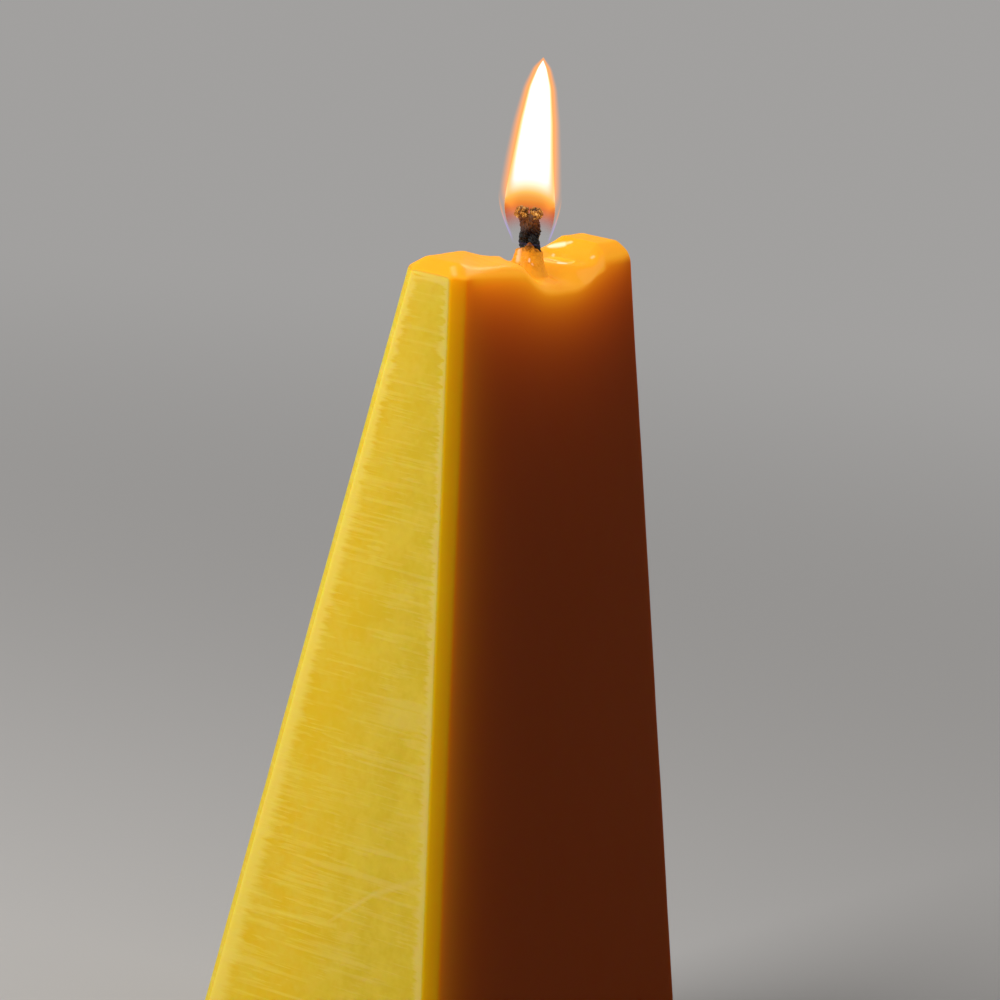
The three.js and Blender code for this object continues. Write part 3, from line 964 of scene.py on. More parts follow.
@dataclass(frozen=True)
class SoakedWax(Finish):
    """Dark orange wax soaked through the foot of the wick, granular and wet."""

    name: str = "soaked_wax"
    clean: Colour = (0.46, 0.18, 0.006)
    dark: Colour = (0.28, 0.07, 0.003)
    shade: Colour = (0.28, 0.06, 0.001)
    burnt: Colour = (0.06, 0.02, 0.004)
    burnt_glow: Colour = (0.12, 0.035, 0.003)
    burnt_heights: Pair = (149.2, 150.4)
    raggedness: float = 0.5
    scatter: Colour = (1.0, 0.3, 0.05)
    scatter_depth: float = 2.0

    # Painted highlights: reflections of the flame on the wet foot, painted into the emission
    PAINTED_HIGHLIGHTS = (
        Stroke((-0.15, 0.7, 149.5), (-0.55, 0.5, 148.0), 0.75, 0.42),
        Stroke((0.0, -1.5, 148.4), (0.0, -1.5, 148.0), 0.28, 0.5),
        Stroke((0.3, -1.9, 147.6), (0.5, -2.0, 147.3), 0.24, 0.35),
    )

    def surface(self, graph: Graph) -> Socket:
        """Mottle the orange, char it round the wick, let it glow and paint highlights of the flame on it.
        """
        place = graph.place()
        clots = SoakedClots().use(graph, place, Soak=graph.carried(Field.SOAK))
        grit = Grain().use(graph, place, Size=0.45, Sharpness=0.5)
        uneven = graph.remap(grit, *NOISE_RANGE, -self.raggedness, self.raggedness)
        burnt = graph.remap(graph.plus(graph.height(place), uneven), *self.burnt_heights)
        # The glow of the wax, darker where soot clots lie
        clotted_glow = graph.blend(graph.times(clots, 0.5), graph.glow(), self.shade)
        # The glow turns to a dim burnt glow near the wick
        charred = graph.blend(burnt, clotted_glow, self.burnt_glow)
        return graph.principled(
            {
                "Base Color": graph.blend(burnt, graph.blend(clots, self.clean, self.dark), self.burnt),
                "Roughness": graph.remap(grit, *NOISE_RANGE, 0.22, 0.5),
                "IOR": 1.42,
                "Specular IOR Level": 0.1,
                "Subsurface Weight": 0.7,
                "Subsurface Radius": self.scatter,
                "Subsurface Scale": self.scatter_depth * METRES,
                "Normal": graph.bump(grit, 0.10),
                # The emission carries the glow and the painted highlights
                "Emission Color": graph.blend(graph.strokes(place, self.PAINTED_HIGHLIGHTS), charred, PAINTED_HIGHLIGHT_COLOUR),
                "Emission Strength": 0.85,
            }
        )


@dataclass(frozen=True)
class LiquidWax(Finish):
    """Clear liquid wax: wet, bright and mirror smooth, with painted highlights on it and near its edge."""

    name: str = "liquid_wax"
    tint: Colour = (0.30, 0.17, 0.01)
    swirled: Colour = (0.36, 0.21, 0.015)
    # Colour of the painted highlight ring near the pool's edge
    edge_highlight: Colour = (1.0, 0.62, 0.14)
    scatter: Colour = (1.0, 0.4, 0.08)
    scatter_depth: float = 3.0

    # Painted highlights: reflections of the flame on the pool, painted into the emission
    PAINTED_HIGHLIGHTS = (
        Stroke((8.9, -1.6, 147.0), (9.9, -2.5, 147.0), 0.55, 0.75),
        Stroke((13.0, -2.4, 147.0), (13.6, -2.2, 147.0), 0.40, 0.25),
    )

    def surface(self, graph: Graph) -> Socket:
        """Give the pool its colour and shine, with a painted highlight ring near its edge and painted
        highlights of the flame.
        """
        place = graph.place()
        swirl = Grain().use(graph, place, Size=3.0, Sharpness=0.1)
        # Near its edge the glow turns to a painted highlight ring
        edge_highlighted = graph.blend(graph.carried(Field.EDGE), graph.glow(), self.edge_highlight)
        return graph.principled(
            {
                "Base Color": graph.blend(graph.remap(swirl, 0.35, 0.65), self.tint, self.swirled),
                "Roughness": graph.remap(swirl, *NOISE_RANGE, 0.04, 0.09),
                "IOR": 1.4,
                "Subsurface Weight": 0.6,
                "Subsurface Radius": self.scatter,
                "Subsurface Scale": self.scatter_depth * METRES,
                "Emission Color": graph.blend(graph.strokes(place, self.PAINTED_HIGHLIGHTS), edge_highlighted, PAINTED_HIGHLIGHT_COLOUR),
                "Emission Strength": 1.0,
            }
        )


@dataclass(frozen=True)
class CharredCotton(Finish):
    """Burnt cotton yarn: black, cracked, with a brown glow toward its end."""

    name: str = "charred_cotton"
    char: Colour = (0.004, 0.004, 0.0045)
    ash: Colour = (0.02, 0.028, 0.03)
    scorched: Colour = (0.09, 0.034, 0.006)
    ember: Colour = (0.9, 0.26, 0.02)
    ember_share: float = 0.16
    cotton: Colour = (0.72, 0.55, 0.30)
    fibre_scale: Point = (5.0, 5.0, 1.2)
    burnt_heights: Pair = (146.5, 148.5)
    hot_heights: Pair = (152.2, 154.4)

    def surface(self, graph: Graph) -> Socket:
        """Char the yarn above the wax and scorch its end."""
        place = graph.place()
        height = graph.height(place)
        flakes = Grain().use(graph, place, Size=0.7, Sharpness=0.5)
        fibres = Grain().use(graph, graph.squeeze(place, self.fibre_scale), Size=1.0, Sharpness=0.5)
        burnt = graph.remap(height, *self.burnt_heights)
        black = graph.blend(graph.remap(flakes, 0.5, 0.75), self.char, self.ash)
        hot = graph.times(graph.remap(height, *self.hot_heights), graph.remap(fibres, 0.35, 0.6))
        charred = graph.blend(hot, black, self.scorched)
        lit = graph.times(graph.times(hot, graph.remap(flakes, 0.42, 0.62)), self.ember_share)
        return graph.principled(
            {
                "Base Color": graph.blend(burnt, self.cotton, charred),
                "Roughness": graph.remap(flakes, *NOISE_RANGE, 0.28, 0.7),
                "Specular IOR Level": 0.3,
                "Normal": graph.bump(graph.plus(flakes, fibres), 0.12),
                "Emission Color": graph.blend(lit, BLACK, self.ember),
                "Emission Strength": 1.0,
            }
        )


@dataclass(frozen=True)
class GlowingCarbon(Finish):
    """Carbon grown on the end of the wick: dark crust with golden beads."""

    name: str = "glowing_carbon"
    crust: Colour = (0.012, 0.005, 0.002)
    bead: Colour = (0.05, 0.022, 0.005)

    # Share of the heat and the light that leaves the bead there
    HEATS = (
        (0.1, (0.015, 0.003, 0.0)),
        (0.5, (0.52, 0.17, 0.012)),
        (0.9, (0.95, 0.52, 0.14)),
    )

    def surface(self, graph: Graph) -> Socket:
        """Light the beads and leave the crust between them dark."""
        bead = graph.carried(Field.EDGE)
        flecks = Grain().use(graph, graph.place(), Size=0.32, Sharpness=0.5)
        heat = graph.times(bead, graph.remap(flecks, 0.36, 0.62))
        return graph.principled(
            {
                "Base Color": graph.blend(bead, self.crust, self.bead),
                "Roughness": graph.remap(flecks, *NOISE_RANGE, 0.3, 0.5),
                "Specular IOR Level": 0.25,
                "Normal": graph.bump(flecks, 0.08),
                "Emission Color": graph.ramp(heat, self.HEATS),
                "Emission Strength": 1.0,
            }
        )


@dataclass(frozen=True)
class FlameFinish(Finish):
    """What both layers of the flame share: light with no surface of its own."""

    base: float = 150.0

    def seen(self, graph: Graph) -> tuple[Socket, Socket]:
        """Height above the top of the wax, and how far the surface turns from the viewer."""
        height = graph.minus(graph.height(graph.place()), self.base)
        return height, graph.add("ShaderNodeLayerWeight", {"Blend": 0.5}).outputs["Facing"]

    def glowing(self, graph: Graph, colour: Value, strength: Value, alpha: Value) -> Socket:
        """Make the shader of a glowing gas."""
        return graph.principled(
            {
                "Base Color": BLACK,
                "Roughness": 1.0,
                "Specular IOR Level": 0.0,
                "Emission Color": colour,
                "Emission Strength": strength,
                "Alpha": alpha,
            }
        )


@dataclass(frozen=True)
class FlameHeart(FlameFinish):
    """The white-hot body of the flame, clearer and redder round the wick."""

    name: str = "flame_heart"
    white_from: float = 12.0
    power: float = 1.6
    warm_power: float = 1.1
    limb_lift: float = 3.0
    limb_heights: Pair = (6.0, 8.5)
    warm_edge: Colour = (1.0, 0.78, 0.32)
    warm_facing: Pair = (0.25, 0.75)
    warm_heights: Pair = (7.0, 11.0)
    outer_edge: Colour = (1.0, 0.46, 0.08)
    outer_facing: Pair = (0.78, 0.97)
    soft_facing: Pair = (1.0, 0.72)
    hot_heights: Pair = (9.0, 16.0)
    near_body: Pair = (6.3, 8.6)
    far_body: Pair = (3.0, 7.4)
    sleeve_heights: Pair = (1.8, 6.0)
    sleeve_share: float = 0.8
    sleeve_fading: float = 1.6

    # Share of the height at which the flame is white, and its colour there
    HEIGHTS = (
        (0.15, (0.35, 0.07, 0.07)),
        (0.38, (0.52, 0.085, 0.035)),
        (0.56, (0.68, 0.14, 0.035)),
        (0.66, (0.95, 0.32, 0.042)),
        (0.73, (1.0, 0.56, 0.13)),
        (0.84, (1.0, 0.90, 0.62)),
        (0.95, (1.0, 1.0, 1.0)),
    )

    def surface(self, graph: Graph) -> Socket:
        """Colour the flame by height and let it thin out at its foot and its edge."""
        height, facing = self.seen(graph)
        behind = graph.add("ShaderNodeNewGeometry", {}).outputs["Backfacing"]
        limb = graph.times(facing, graph.remap(height, *self.limb_heights))
        level = graph.plus(height, graph.between(behind, -1.0, 1.0))
        raised = graph.plus(level, graph.times(limb, self.limb_lift))
        colour = graph.ramp(graph.math("DIVIDE", raised, self.white_from, clamp=True), self.HEIGHTS)
        warm_limb = graph.remap(facing, *self.warm_facing)
        warm = graph.times(warm_limb, graph.remap(height, *self.warm_heights))
        warmed = graph.blend(warm, colour, self.warm_edge, "MULTIPLY")
        tinted = graph.blend(graph.remap(facing, *self.outer_facing), warmed, self.outer_edge)
        near, far = (graph.remap(raised, *span) for span in (self.near_body, self.far_body))
        sleeve_foot = graph.remap(height, *self.sleeve_heights, 0.0, self.sleeve_share)
        sleeve = graph.times(graph.math("POWER", facing, self.sleeve_fading), sleeve_foot)
        shown = graph.larger(graph.between(behind, near, far), sleeve)
        alpha = graph.times(shown, graph.remap(facing, *self.soft_facing))
        hot = graph.remap(height, *self.hot_heights, 1.0, self.power)
        return self.glowing(graph, tinted, graph.between(warm, hot, self.warm_power), alpha)


@dataclass(frozen=True)
class FlameVeil(FlameFinish):
    """The thin outer flame: an orange veil, violet low down."""

    name: str = "flame_veil"
    violet: Colour = (0.40, 0.28, 0.80)
    orange: Colour = (1.0, 0.33, 0.05)
    orange_heights: Pair = (3.0, 6.0)
    power: float = 1.5
    halo_width: float = 0.7
    halo_fading: float = 3.4
    halo_facing: Pair = (0.08, 0.30)
    halo_heights: Pair = (4.5, 9.5)
    halo_share: float = 0.5
    skirt_facing: Pair = (0.55, 0.92)
    skirt_heights: Pair = (0.2, 2.4)
    skirt_share: float = 0.26

    def surface(self, graph: Graph) -> Socket:
        """Ring the heart with a glow that fades outward, and brighten the veil's edge below."""
        height, facing = self.seen(graph)
        outward = graph.math("DIVIDE", graph.minus(1.0, facing), self.halo_width, clamp=True)
        faded = graph.math("POWER", outward, self.halo_fading)
        halo = graph.times(graph.times(faded, graph.remap(facing, *self.halo_facing)), self.halo_share)
        skirt_edge = graph.remap(facing, *self.skirt_facing)
        skirt_shown = graph.times(skirt_edge, graph.remap(height, *self.skirt_heights))
        skirt = graph.times(skirt_shown, self.skirt_share)
        colour = graph.blend(graph.remap(height, *self.orange_heights), self.violet, self.orange)
        alpha = graph.between(graph.remap(height, *self.halo_heights), skirt, halo)
        return self.glowing(graph, colour, self.power, alpha)


@dataclass(frozen=True)
class PaleFloor(Finish):
    """A plain pale floor that runs up into an even backdrop."""

    name: str = "pale_floor"
    tone: Colour = (0.56, 0.545, 0.53)
    bounce: Colour = (0.16, 0.15, 0.14)
    backdrop: Colour = (0.36, 0.352, 0.345)
    backdrop_span: Pair = (120.0, 800.0)

    def surface(self, graph: Graph) -> Socket:
        """Show a pale floor, which throws little light back up, and an even backdrop."""
        rays = graph.add("ShaderNodeLightPath", {}).outputs
        seen = graph.larger(rays["Is Camera Ray"], rays["Is Glossy Ray"])
        seen = graph.larger(seen, rays["Is Transmission Ray"])
        away = graph.vector("LENGTH", {0: graph.squeeze(graph.place(), (1.0, 1.0, 0.0))}, "Value")
        far = graph.remap(away, *self.backdrop_span)
        pale = graph.principled({"Base Color": self.tone, "Roughness": 0.8, "Specular IOR Level": 0.2})
        even = graph.add("ShaderNodeEmission", {"Color": self.backdrop}).outputs[0]
        dull = graph.add("ShaderNodeBsdfDiffuse", {"Color": self.bounce}).outputs[0]
        shown = graph.add("ShaderNodeMixShader", {0: far, 1: pale, 2: even}).outputs[0]
        return graph.add("ShaderNodeMixShader", {0: seen, 1: dull, 2: shown}).outputs[0]


def dress(piece: Piece, finish: Finish, slot: Slot, *nodes: str) -> None:
    """Give a piece its finish and its body, and hide the solids that it stands for.

    Args:
        piece: The piece.
        finish: Its finish.
        slot: Not used.
        nodes: Names of the solids that the piece replaces.
    """
    piece.data.materials.append(finish.material())
    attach(piece, BODY)
    if nodes:
        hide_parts(*nodes)
    LOG.info("%s: %d faces", piece.name, len(piece.data.polygons))


@dataclass(frozen=True)
class WaxBody:
    """The cast body of the candle as one fine closed mesh with its bore."""

    wedge: CastWedge = CastWedge()
    light: InnerLight = InnerLight()
    long_columns: int = 130
    end_columns: int = 24
    chamfer_columns: int = 12
    evenness: float = 0.3
    side_rows: int = 112
    side_crowding: float = 1.6
    rim_rows: int = 26
    top_rows: int = 9
    rim_inset: float = 3.2
    side_reach: float = 40.0
    rim_reach: float = 16.0
    spine_half: float = 20.5
    bore_radius: float = 1.94
    bore_sides: int = 48
    bore_overshoot: Pair = (2.0, 5.0)
    cast_heights: Pair = (2.0, 10.0)
    cast_sink: float = 0.03
    cast_swings: Pair = (0.05, 0.016)
    melted_heights: Pair = (143.0, 147.0)
    melted_swing: float = 0.03
    # Bloom by face, which also paints the lit left end lighter than the shaded front face
    bloom_facing: Pair = (0.80, 0.95)
    bloom_right: float = 0.35
    bloom_back: float = 0.7
    bloom_corner: float = 0.85
    corner_facing: Pair = (0.3, 0.6)
    bloom_top: Pair = (147.8, 148.6)
    clear_edge: float = 0.2
    # How the amber deepens on the long faces and the right end, partly as painted shade, and lightens near
    # the upright edges as painted light
    deepening: float = 4.5
    far_deepening: float = 0.7
    deep_facing: Pair = (0.1, 0.5)
    back_depth: float = 0.3
    right_depth: float = 0.6
    right_facing: Pair = (0.6, 0.9)
    edge_light: Colour = (0.10, 0.004, 0.0)
    edge_light_run: float = 5.0
    edge_light_facing: Pair = (0.75, 0.95)
    melt_facing: Pair = (0.12, 0.62)
    melt_reach: float = 9.0
    wet_gap: Pair = (-0.8, -0.2)
    wet_depth: Pair = (1.0, 2.2)
    wet_left: Pair = (-5.0, -1.0)
    wet_right: Pair = (15.5, 17.0)
    wet_half: float = 6.0

    def columns(self) -> tuple[Array, Array]:
        """Which side of the outline each column is on, and how far along it."""
        edges: list[int] = []
        shares: list[float] = []
        for edge in range(8):
            count = self.chamfer_columns
            if edge in (3, 7):
                count = self.long_columns
            elif edge in (1, 5):
                count = self.end_columns
            t = np.arange(count) / count
            edges += [edge] * count
            shares += list(self.evenness * t + (1 - self.evenness) * t * t * (3 - 2 * t))
        return np.array(edges), np.array(shares)

    def outline(self, z: Array) -> Array:
        """Place of every column on the unrounded outline, each at its own height."""
        edges, shares = self.columns()
        corners = self.wedge.corners(z)
        index = np.arange(len(edges))
        start = corners[edges, index]
        end = corners[(edges + 1) % 8, index]
        return start + (end - start) * shares[:, None]

    def outline_at(self, height: float) -> Array:
        """The unrounded outline at one height."""
        return self.outline(np.full(len(self.columns()[0]), height))

    def spine(self) -> Array:
        """Place on the middle line of the top that each column ends at."""
        limit = self.wedge.top_half[0] - self.wedge.upright_chamfer
        x = np.clip(self.outline_at(self.wedge.height)[:, 0] / limit, -1, 1) * self.spine_half
        return np.stack([x, np.zeros_like(x)], axis=1)

    def base_rings(self) -> list[Array]:
        """The outline of the base inside its chamfer, and the outline above the chamfer."""
        chamfer = self.wedge.base_chamfer
        inner = self.outline_at(0.0) * (1 - chamfer / np.array(self.wedge.base_half))
        outer = self.outline_at(chamfer)
        zeros = np.zeros(len(inner))
        return [np.column_stack([inner, zeros]), np.column_stack([outer, zeros + chamfer])]

    def side_rings(self, low: Array, spine: Array) -> list[Array]:
        """Rings up the sides, closer together toward the top.

        Args:
            low: Height at which each column leaves the sides.
            spine: Place on the middle line that each column ends at.

        Returns:
            The rings.
        """
        rings = []
        chamfer = self.wedge.base_chamfer
        for t in np.linspace(0, 1, self.side_rows, endpoint=False)[1:]:
            z = chamfer + (low - chamfer) * (1 - (1 - t) ** self.side_crowding)
            target = self.outline(z)
            inner = spine + (target - spine) * 0.5
            origin = np.column_stack([inner, z])
            direction = np.column_stack([unit(target - inner), np.zeros(len(z))])
            rings.append(crossing(self.wedge.field, origin, direction, self.side_reach))
        return rings

    def rings(self) -> list[Array]:
        """Every ring of points, from the base to the last one before the middle line."""
        wedge = self.wedge
        spine = self.spine()
        rim = self.outline_at(wedge.height)
        outward = unit(rim - spine)
        start = rim - outward * self.rim_inset
        rim_top = wedge.height - np.maximum(wedge.melted.depth(rim[:, 0], rim[:, 1]), 0)
        low = np.minimum(wedge.top_at(start[:, 0], start[:, 1]), rim_top) - self.rim_inset
        rings = self.base_rings() + self.side_rings(low, spine)
        origin = np.column_stack([start, low])
        for angle in np.linspace(0, math.pi / 2, self.rim_rows):
            direction = np.column_stack([outward * math.cos(angle), np.full(len(low), math.sin(angle))])
            rings.append(crossing(wedge.field, origin, direction, self.rim_reach))
        for t in np.linspace(0, 1, self.top_rows + 1, endpoint=False)[1:]:
            plan = start + (spine - start) * t
            rings.append(np.column_stack([plan, wedge.top_at(plan[:, 0], plan[:, 1])]))
        return rings

    def shell(self) -> Piece:
        """The closed body before its bore is cut."""
        rings = self.rings()
        count = len(rings[0])
        edges, _ = self.columns()
        first = {edge: int(np.flatnonzero(edges == edge)[0]) for edge in range(8)}
        front = list(range(first[7], first[7] + self.long_columns)) + [first[0]]
        back = list(range(first[3], first[3] + self.long_columns)) + [first[4]]
        ridge_x = self.spine()[front, 0]
        ridge_y = np.zeros(len(ridge_x))
        ridge = np.column_stack([ridge_x, ridge_y, self.wedge.top_at(ridge_x, ridge_y)])
        faces = ring_faces(len(rings), count)
        faces.append(tuple(reversed(range(count))))
        last = (len(rings) - 1) * count
        middle = len(rings) * count
        steps = self.long_columns
        for j in range(steps):
            faces.append((last + front[j], last + front[j + 1], middle + j + 1, middle + j))
            faces.append((last + back[j], last + back[j + 1], middle + steps - j - 1, middle + steps - j))
        for start, stop, hub in ((first[0], first[3], steps), (first[4], first[7], 0)):
            for column in range(start, stop):
                faces.append((last + column, last + (column + 1) % count, middle + hub))
        return make_piece("candle_body", self.weathered(np.concatenate([*rings, ridge])), faces)

    def weathered(self, points: Array) -> Array:
        """Give the cast faces and the melted top their slight unevenness, inward only."""
        melted = smooth_step(points[:, 2], *self.melted_heights)
        cast = smooth_step(points[:, 2], *self.cast_heights) * (1 - melted)
        broad, small = (Ripple(*wave).at(points) for wave in ((11, 26.0), (12, 5.0)))
        sunk = self.cast_sink + self.cast_swings[0] * broad + self.cast_swings[1] * small
        moved = points - unit(points * FLAT) * (sunk * cast)[:, None]
        moved[:, 2] += self.melted_swing * melted * (Ripple(13, 2.6).at(points) - 1)
        return moved

    def bored(self, shell: Piece) -> Piece:
        """Cut the bore for the wick.

        Args:
            shell: The closed body.

        Returns:
            The body with its bore.
        """
        below, above = self.bore_overshoot
        heights = (-below, self.wedge.height + above)
        angle = turns(self.bore_sides)
        rings = [level_ring(angle, self.bore_radius, z, self.wedge.melted.wick_x) for z in heights]
        cutter = make_piece("bore_cutter", np.concatenate(rings), capped_faces(2, self.bore_sides))
        modifier = shell.modifiers.new("bore", "BOOLEAN")
        modifier.operation = "DIFFERENCE"
        modifier.solver = "EXACT"
        modifier.object = cutter
        graph = bpy.context.evaluated_depsgraph_get()
        mesh = bpy.data.meshes.new_from_object(shell.evaluated_get(graph))
        shell.modifiers.clear()
        shell.data = mesh
        bpy.data.objects.remove(cutter)
        return shell

    def bloom_and_light_at(self, points: Array, normals: Array) -> Array:
        """How much pale bloom each point carries, by the face that it is on. The lit left end carries all
        of it and the shaded front face none, so that it also paints the lit side lighter.
        """
        toward_x, toward_y = normals[:, 0], normals[:, 1]
        left = smooth_step(-toward_x, *self.bloom_facing)
        right = smooth_step(toward_x, *self.bloom_facing) * self.bloom_right
        back = smooth_step(toward_y, *self.bloom_facing) * self.bloom_back
        corner = smooth_step(toward_y, *self.corner_facing) * smooth_step(-toward_x, *self.corner_facing)
        total = left + right + back + corner * self.bloom_corner
        return np.clip(total, 0, 1) * (1 - smooth_step(points[:, 2], *self.bloom_top))

    def depth_and_shade_at(self, points: Array, normals: Array) -> Array:
        """How deep the amber reads at each point, partly as painted shade: the front face, in shade, reads
        deepest, the back and the right end less so, and the long faces lighten toward their upright edges
        as painted light coming through the edges.
        """
        front = smooth_step(-normals[:, 1], *self.deep_facing)
        back = self.back_depth * smooth_step(normals[:, 1], *self.deep_facing)
        half = self.wedge.half_at(points[:, 2], 0)
        left = np.maximum(half + points[:, 0] - self.clear_edge, 0) / self.deepening
        right = np.maximum(half - points[:, 0] - self.clear_edge, 0) / self.far_deepening
        flat = (front + back) * (1 - np.exp(-left)) * (1 - np.exp(-right))
        return np.maximum(flat, self.right_depth * smooth_step(normals[:, 0], *self.right_facing))

    def edge_glow(self, points: Array, normals: Array) -> Array:
        """Light that comes through the wax beside the left edge of the front face."""
        front = smooth_step(-normals[:, 1], *self.edge_light_facing)
        from_edge = self.wedge.half_at(points[:, 2], 0) + points[:, 0]
        past = np.maximum(from_edge - self.wedge.upright_chamfer, 0)
        share = front * np.exp(-past / self.edge_light_run)
        return share[:, None] * np.array(self.edge_light)

    def wet_at(self, points: Array) -> Array:
        """How wet each point is: the cup and the hollow are, and the outside isn't."""
        x, y, z = points.T
        top = self.wedge.top_at(x, np.clip(y, -self.wet_half, self.wet_half))
        melted = smooth_step(-np.abs(z - top), *self.wet_gap)
        sunk = smooth_step(self.wedge.height - z, *self.wet_depth)
        return melted * sunk * smooth_step(x, *self.wet_left) * (1 - smooth_step(x, *self.wet_right))

    def build(self) -> None:
        """Build and dress the body."""
        body = self.bored(self.shell())
        points, normals = mesh_rows(body.data, "co") / METRES, mesh_rows(body.data, "normal")
        near_top = points[:, 2] > self.wedge.height - self.melt_reach
        wet = np.zeros(len(points))
        wet[near_top] = self.wet_at(points[near_top])
        molten = np.maximum(smooth_step(normals[:, 2], *self.melt_facing), wet)
        melt = np.where(near_top, molten, 0.0)
        # Bloom by face, partly painted light
        bloom = self.bloom_and_light_at(points, normals)
        store_value(body, Field.EDGE, self.wedge.edge_distance(points))
        # Depth of the amber, with painted shade on the shaded faces
        store_value(body, Field.DEPTH_AND_SHADE, self.depth_and_shade_at(points, normals))
        store_value(body, Field.BLOOM_AND_LIGHT, bloom)
        store_value(body, Field.WET, wet)
        store_value(body, Field.MELT, melt)
        store_value(body, Field.SOAK, SoakedPatch().at(points) * wet)
        glow = self.light.at(self.wedge, points, melt) * (1 - bloom)[:, None]
        store_colour(body, Field.GLOW, glow + self.edge_glow(points, normals))
        dress(body, Beeswax(), Slot.BEESWAX, "wax_body")


@dataclass(frozen=True)
class SoakedPatch:
    """Where the wick's dark soaked wax lies: round its foot, and in a tongue in front of it."""

    wick_x: float = 2.0
    radius: float = 3.2
    steepness: float = 4.0
    tongue_at: Pair = (1.6, -3.4)
    tongue_size: Pair = (2.6, 2.2)
    tongue_share: float = 0.75

    def at(self, points: Array) -> Array:
        """How much of the soaked wax lies at points, from 0 to 1."""
        plan = points[:, :2] - np.array([self.wick_x, 0.0])
        round_wick = np.exp(-((np.hypot(*plan.T) / self.radius) ** self.steepness))
        off = (plan - np.array(self.tongue_at)) / np.array(self.tongue_size)
        tongue = self.tongue_share * np.exp(-(off**2).sum(axis=1))
        return np.maximum(round_wick, tongue)


@dataclass(frozen=True)
class WickAxis:
    """The line that the wick and the flame follow: upright in the wax, then leaning."""

    x: float = 2.0
    height: float = 150.0
    lean: float = 2.0
    lean_height: float = 5.2
    turn: float = math.radians(-60)

    def at(self, z: Array | float) -> Array | float:
        """Place along X of the axis at heights."""
        h = np.maximum(0, z - self.height)
        return self.x - self.lean * h * h / (h * h + self.lean_height**2)

    def plan(self, wide: Array | float, thick: Array | float) -> tuple[Array | float, Array | float]:
        """Turn distances along the wick's wide and thin sides into X and Y."""
        c, s = math.cos(self.turn), math.sin(self.turn)
        return wide * c - thick * s, wide * s + thick * c


@dataclass(frozen=True)
class WickFoot:
    """The granular cone of soaked wax that climbs the foot of the wick."""

    wedge: CastWedge = CastWedge()
    axis: WickAxis = WickAxis()
    light: InnerLight = InnerLight()
    sides: int = 144
    wall_rows: int = 22
    skirt_rows: int = 40
    bore: float = 1.5
    bottom: float = -6.4
    lip: float = 0.46
    neck: float = 2.24
    reach: float = 4.6
    widest_y: float = 5.6
    proud: float = 0.14
    tuck: float = 0.3
    hem: Pair = (0.6, 0.8)
    facing: float = math.radians(-147)
    collar_base: float = -0.65
    front_peak: float = 1.75
    back_peak: float = 0.7
    peak_power: float = 0.9
    lip_drops: Pair = (0.5, 0.08)
    wall_power: float = 0.6
    skirt_power: float = 1.5
    tuck_from: float = 0.45
    swings: Pair = (0.045, 0.05)
    rough_rings: Pair = (1.0, 4.0)
    even_rings: Pair = (30.0, 52.0)

    # Height, number round the collar and start of each wave on its edge
    WAVES = ((0.08, 7, 1.0), (0.05, 13, 0.0))

    def collar_top(self, angle: Array) -> Array:
        """Height of the collar's edge round the wick: one peak in front and a lower one behind."""
        across = np.abs(np.sin(angle - self.facing))
        in_front = np.cos(angle - self.facing) > 0
        peak = np.where(in_front, self.front_peak, self.back_peak)
        ragged = sum(swing * np.sin(count * angle + start) for swing, count, start in self.WAVES)
        return self.collar_base + peak * (1 - across**self.peak_power) + ragged

    def rings(self) -> list[Array]:
        """Rings from the inner foot over the collar and down the outside to the hidden edge."""
        angle = turns(self.sides)
        height = self.axis.height

        def ring(radius: Array | float, z: Array | float) -> Array:
            """One ring at heights above the top of the wax."""
            return level_ring(angle, radius, z + height, self.axis.at(z + height))

        top = self.collar_top(angle)
        lip = self.bore + self.lip
        inside, on_lip = self.lip_drops
        rings = [ring(self.bore, self.bottom), ring(self.bore, top - inside)]
        rings += [ring(self.bore + self.lip / 2, top - on_lip), ring(lip, top)]
        foot = -self.wedge.melted.skirt_top + self.proud
        for t in np.linspace(0, 1, self.wall_rows)[1:]:
            rings.append(ring(lip + (self.neck - lip) * t**self.wall_power, top + (foot - top) * t))
        for t in np.linspace(0, 1, self.skirt_rows)[1:]:
            radius = self.neck + (self.reach - self.neck) * t**self.skirt_power
            x = self.axis.x + radius * np.cos(angle)
            y = np.clip(radius * np.sin(angle), -self.widest_y, self.widest_y)
            floor = self.wedge.top_at(x, y) - height
            sink = (self.proud + self.tuck) * smooth_step(t, self.tuck_from, 1.0)
            rings.append(ring(radius, floor + self.proud - sink))
        inset, drop = self.hem
        rings.append(ring(self.reach - inset, rings[-1][:, 2] - height - drop))
        return rings

    def build(self) -> None:
        """Build and dress the foot."""
        rings = self.rings()
        points = np.concatenate(rings)
        outward = unit((points - np.array([self.axis.x, 0.0, 0.0])) * FLAT)
        coarse, fine = (Ripple(*wave).at(points) for wave in ((21, 1.0), (22, 0.42)))
        rough = self.swings[0] * coarse + self.swings[1] * fine
        ring_index = np.repeat(np.arange(len(rings)), self.sides)
        even = smooth_step(ring_index, *self.even_rings)
        shown = smooth_step(ring_index, *self.rough_rings) * (1 - even)
        points = points + outward * (rough * shown)[:, None]
        piece = make_piece("wick_foot_wax", points, ring_faces(len(rings), self.sides, closed=True))
        store_value(piece, Field.SOAK, SoakedPatch().at(points))
        store_colour(piece, Field.GLOW, self.light.at(self.wedge, points, np.ones(len(points))))
        dress(piece, SoakedWax(), Slot.SOAKED, "wick_foot")


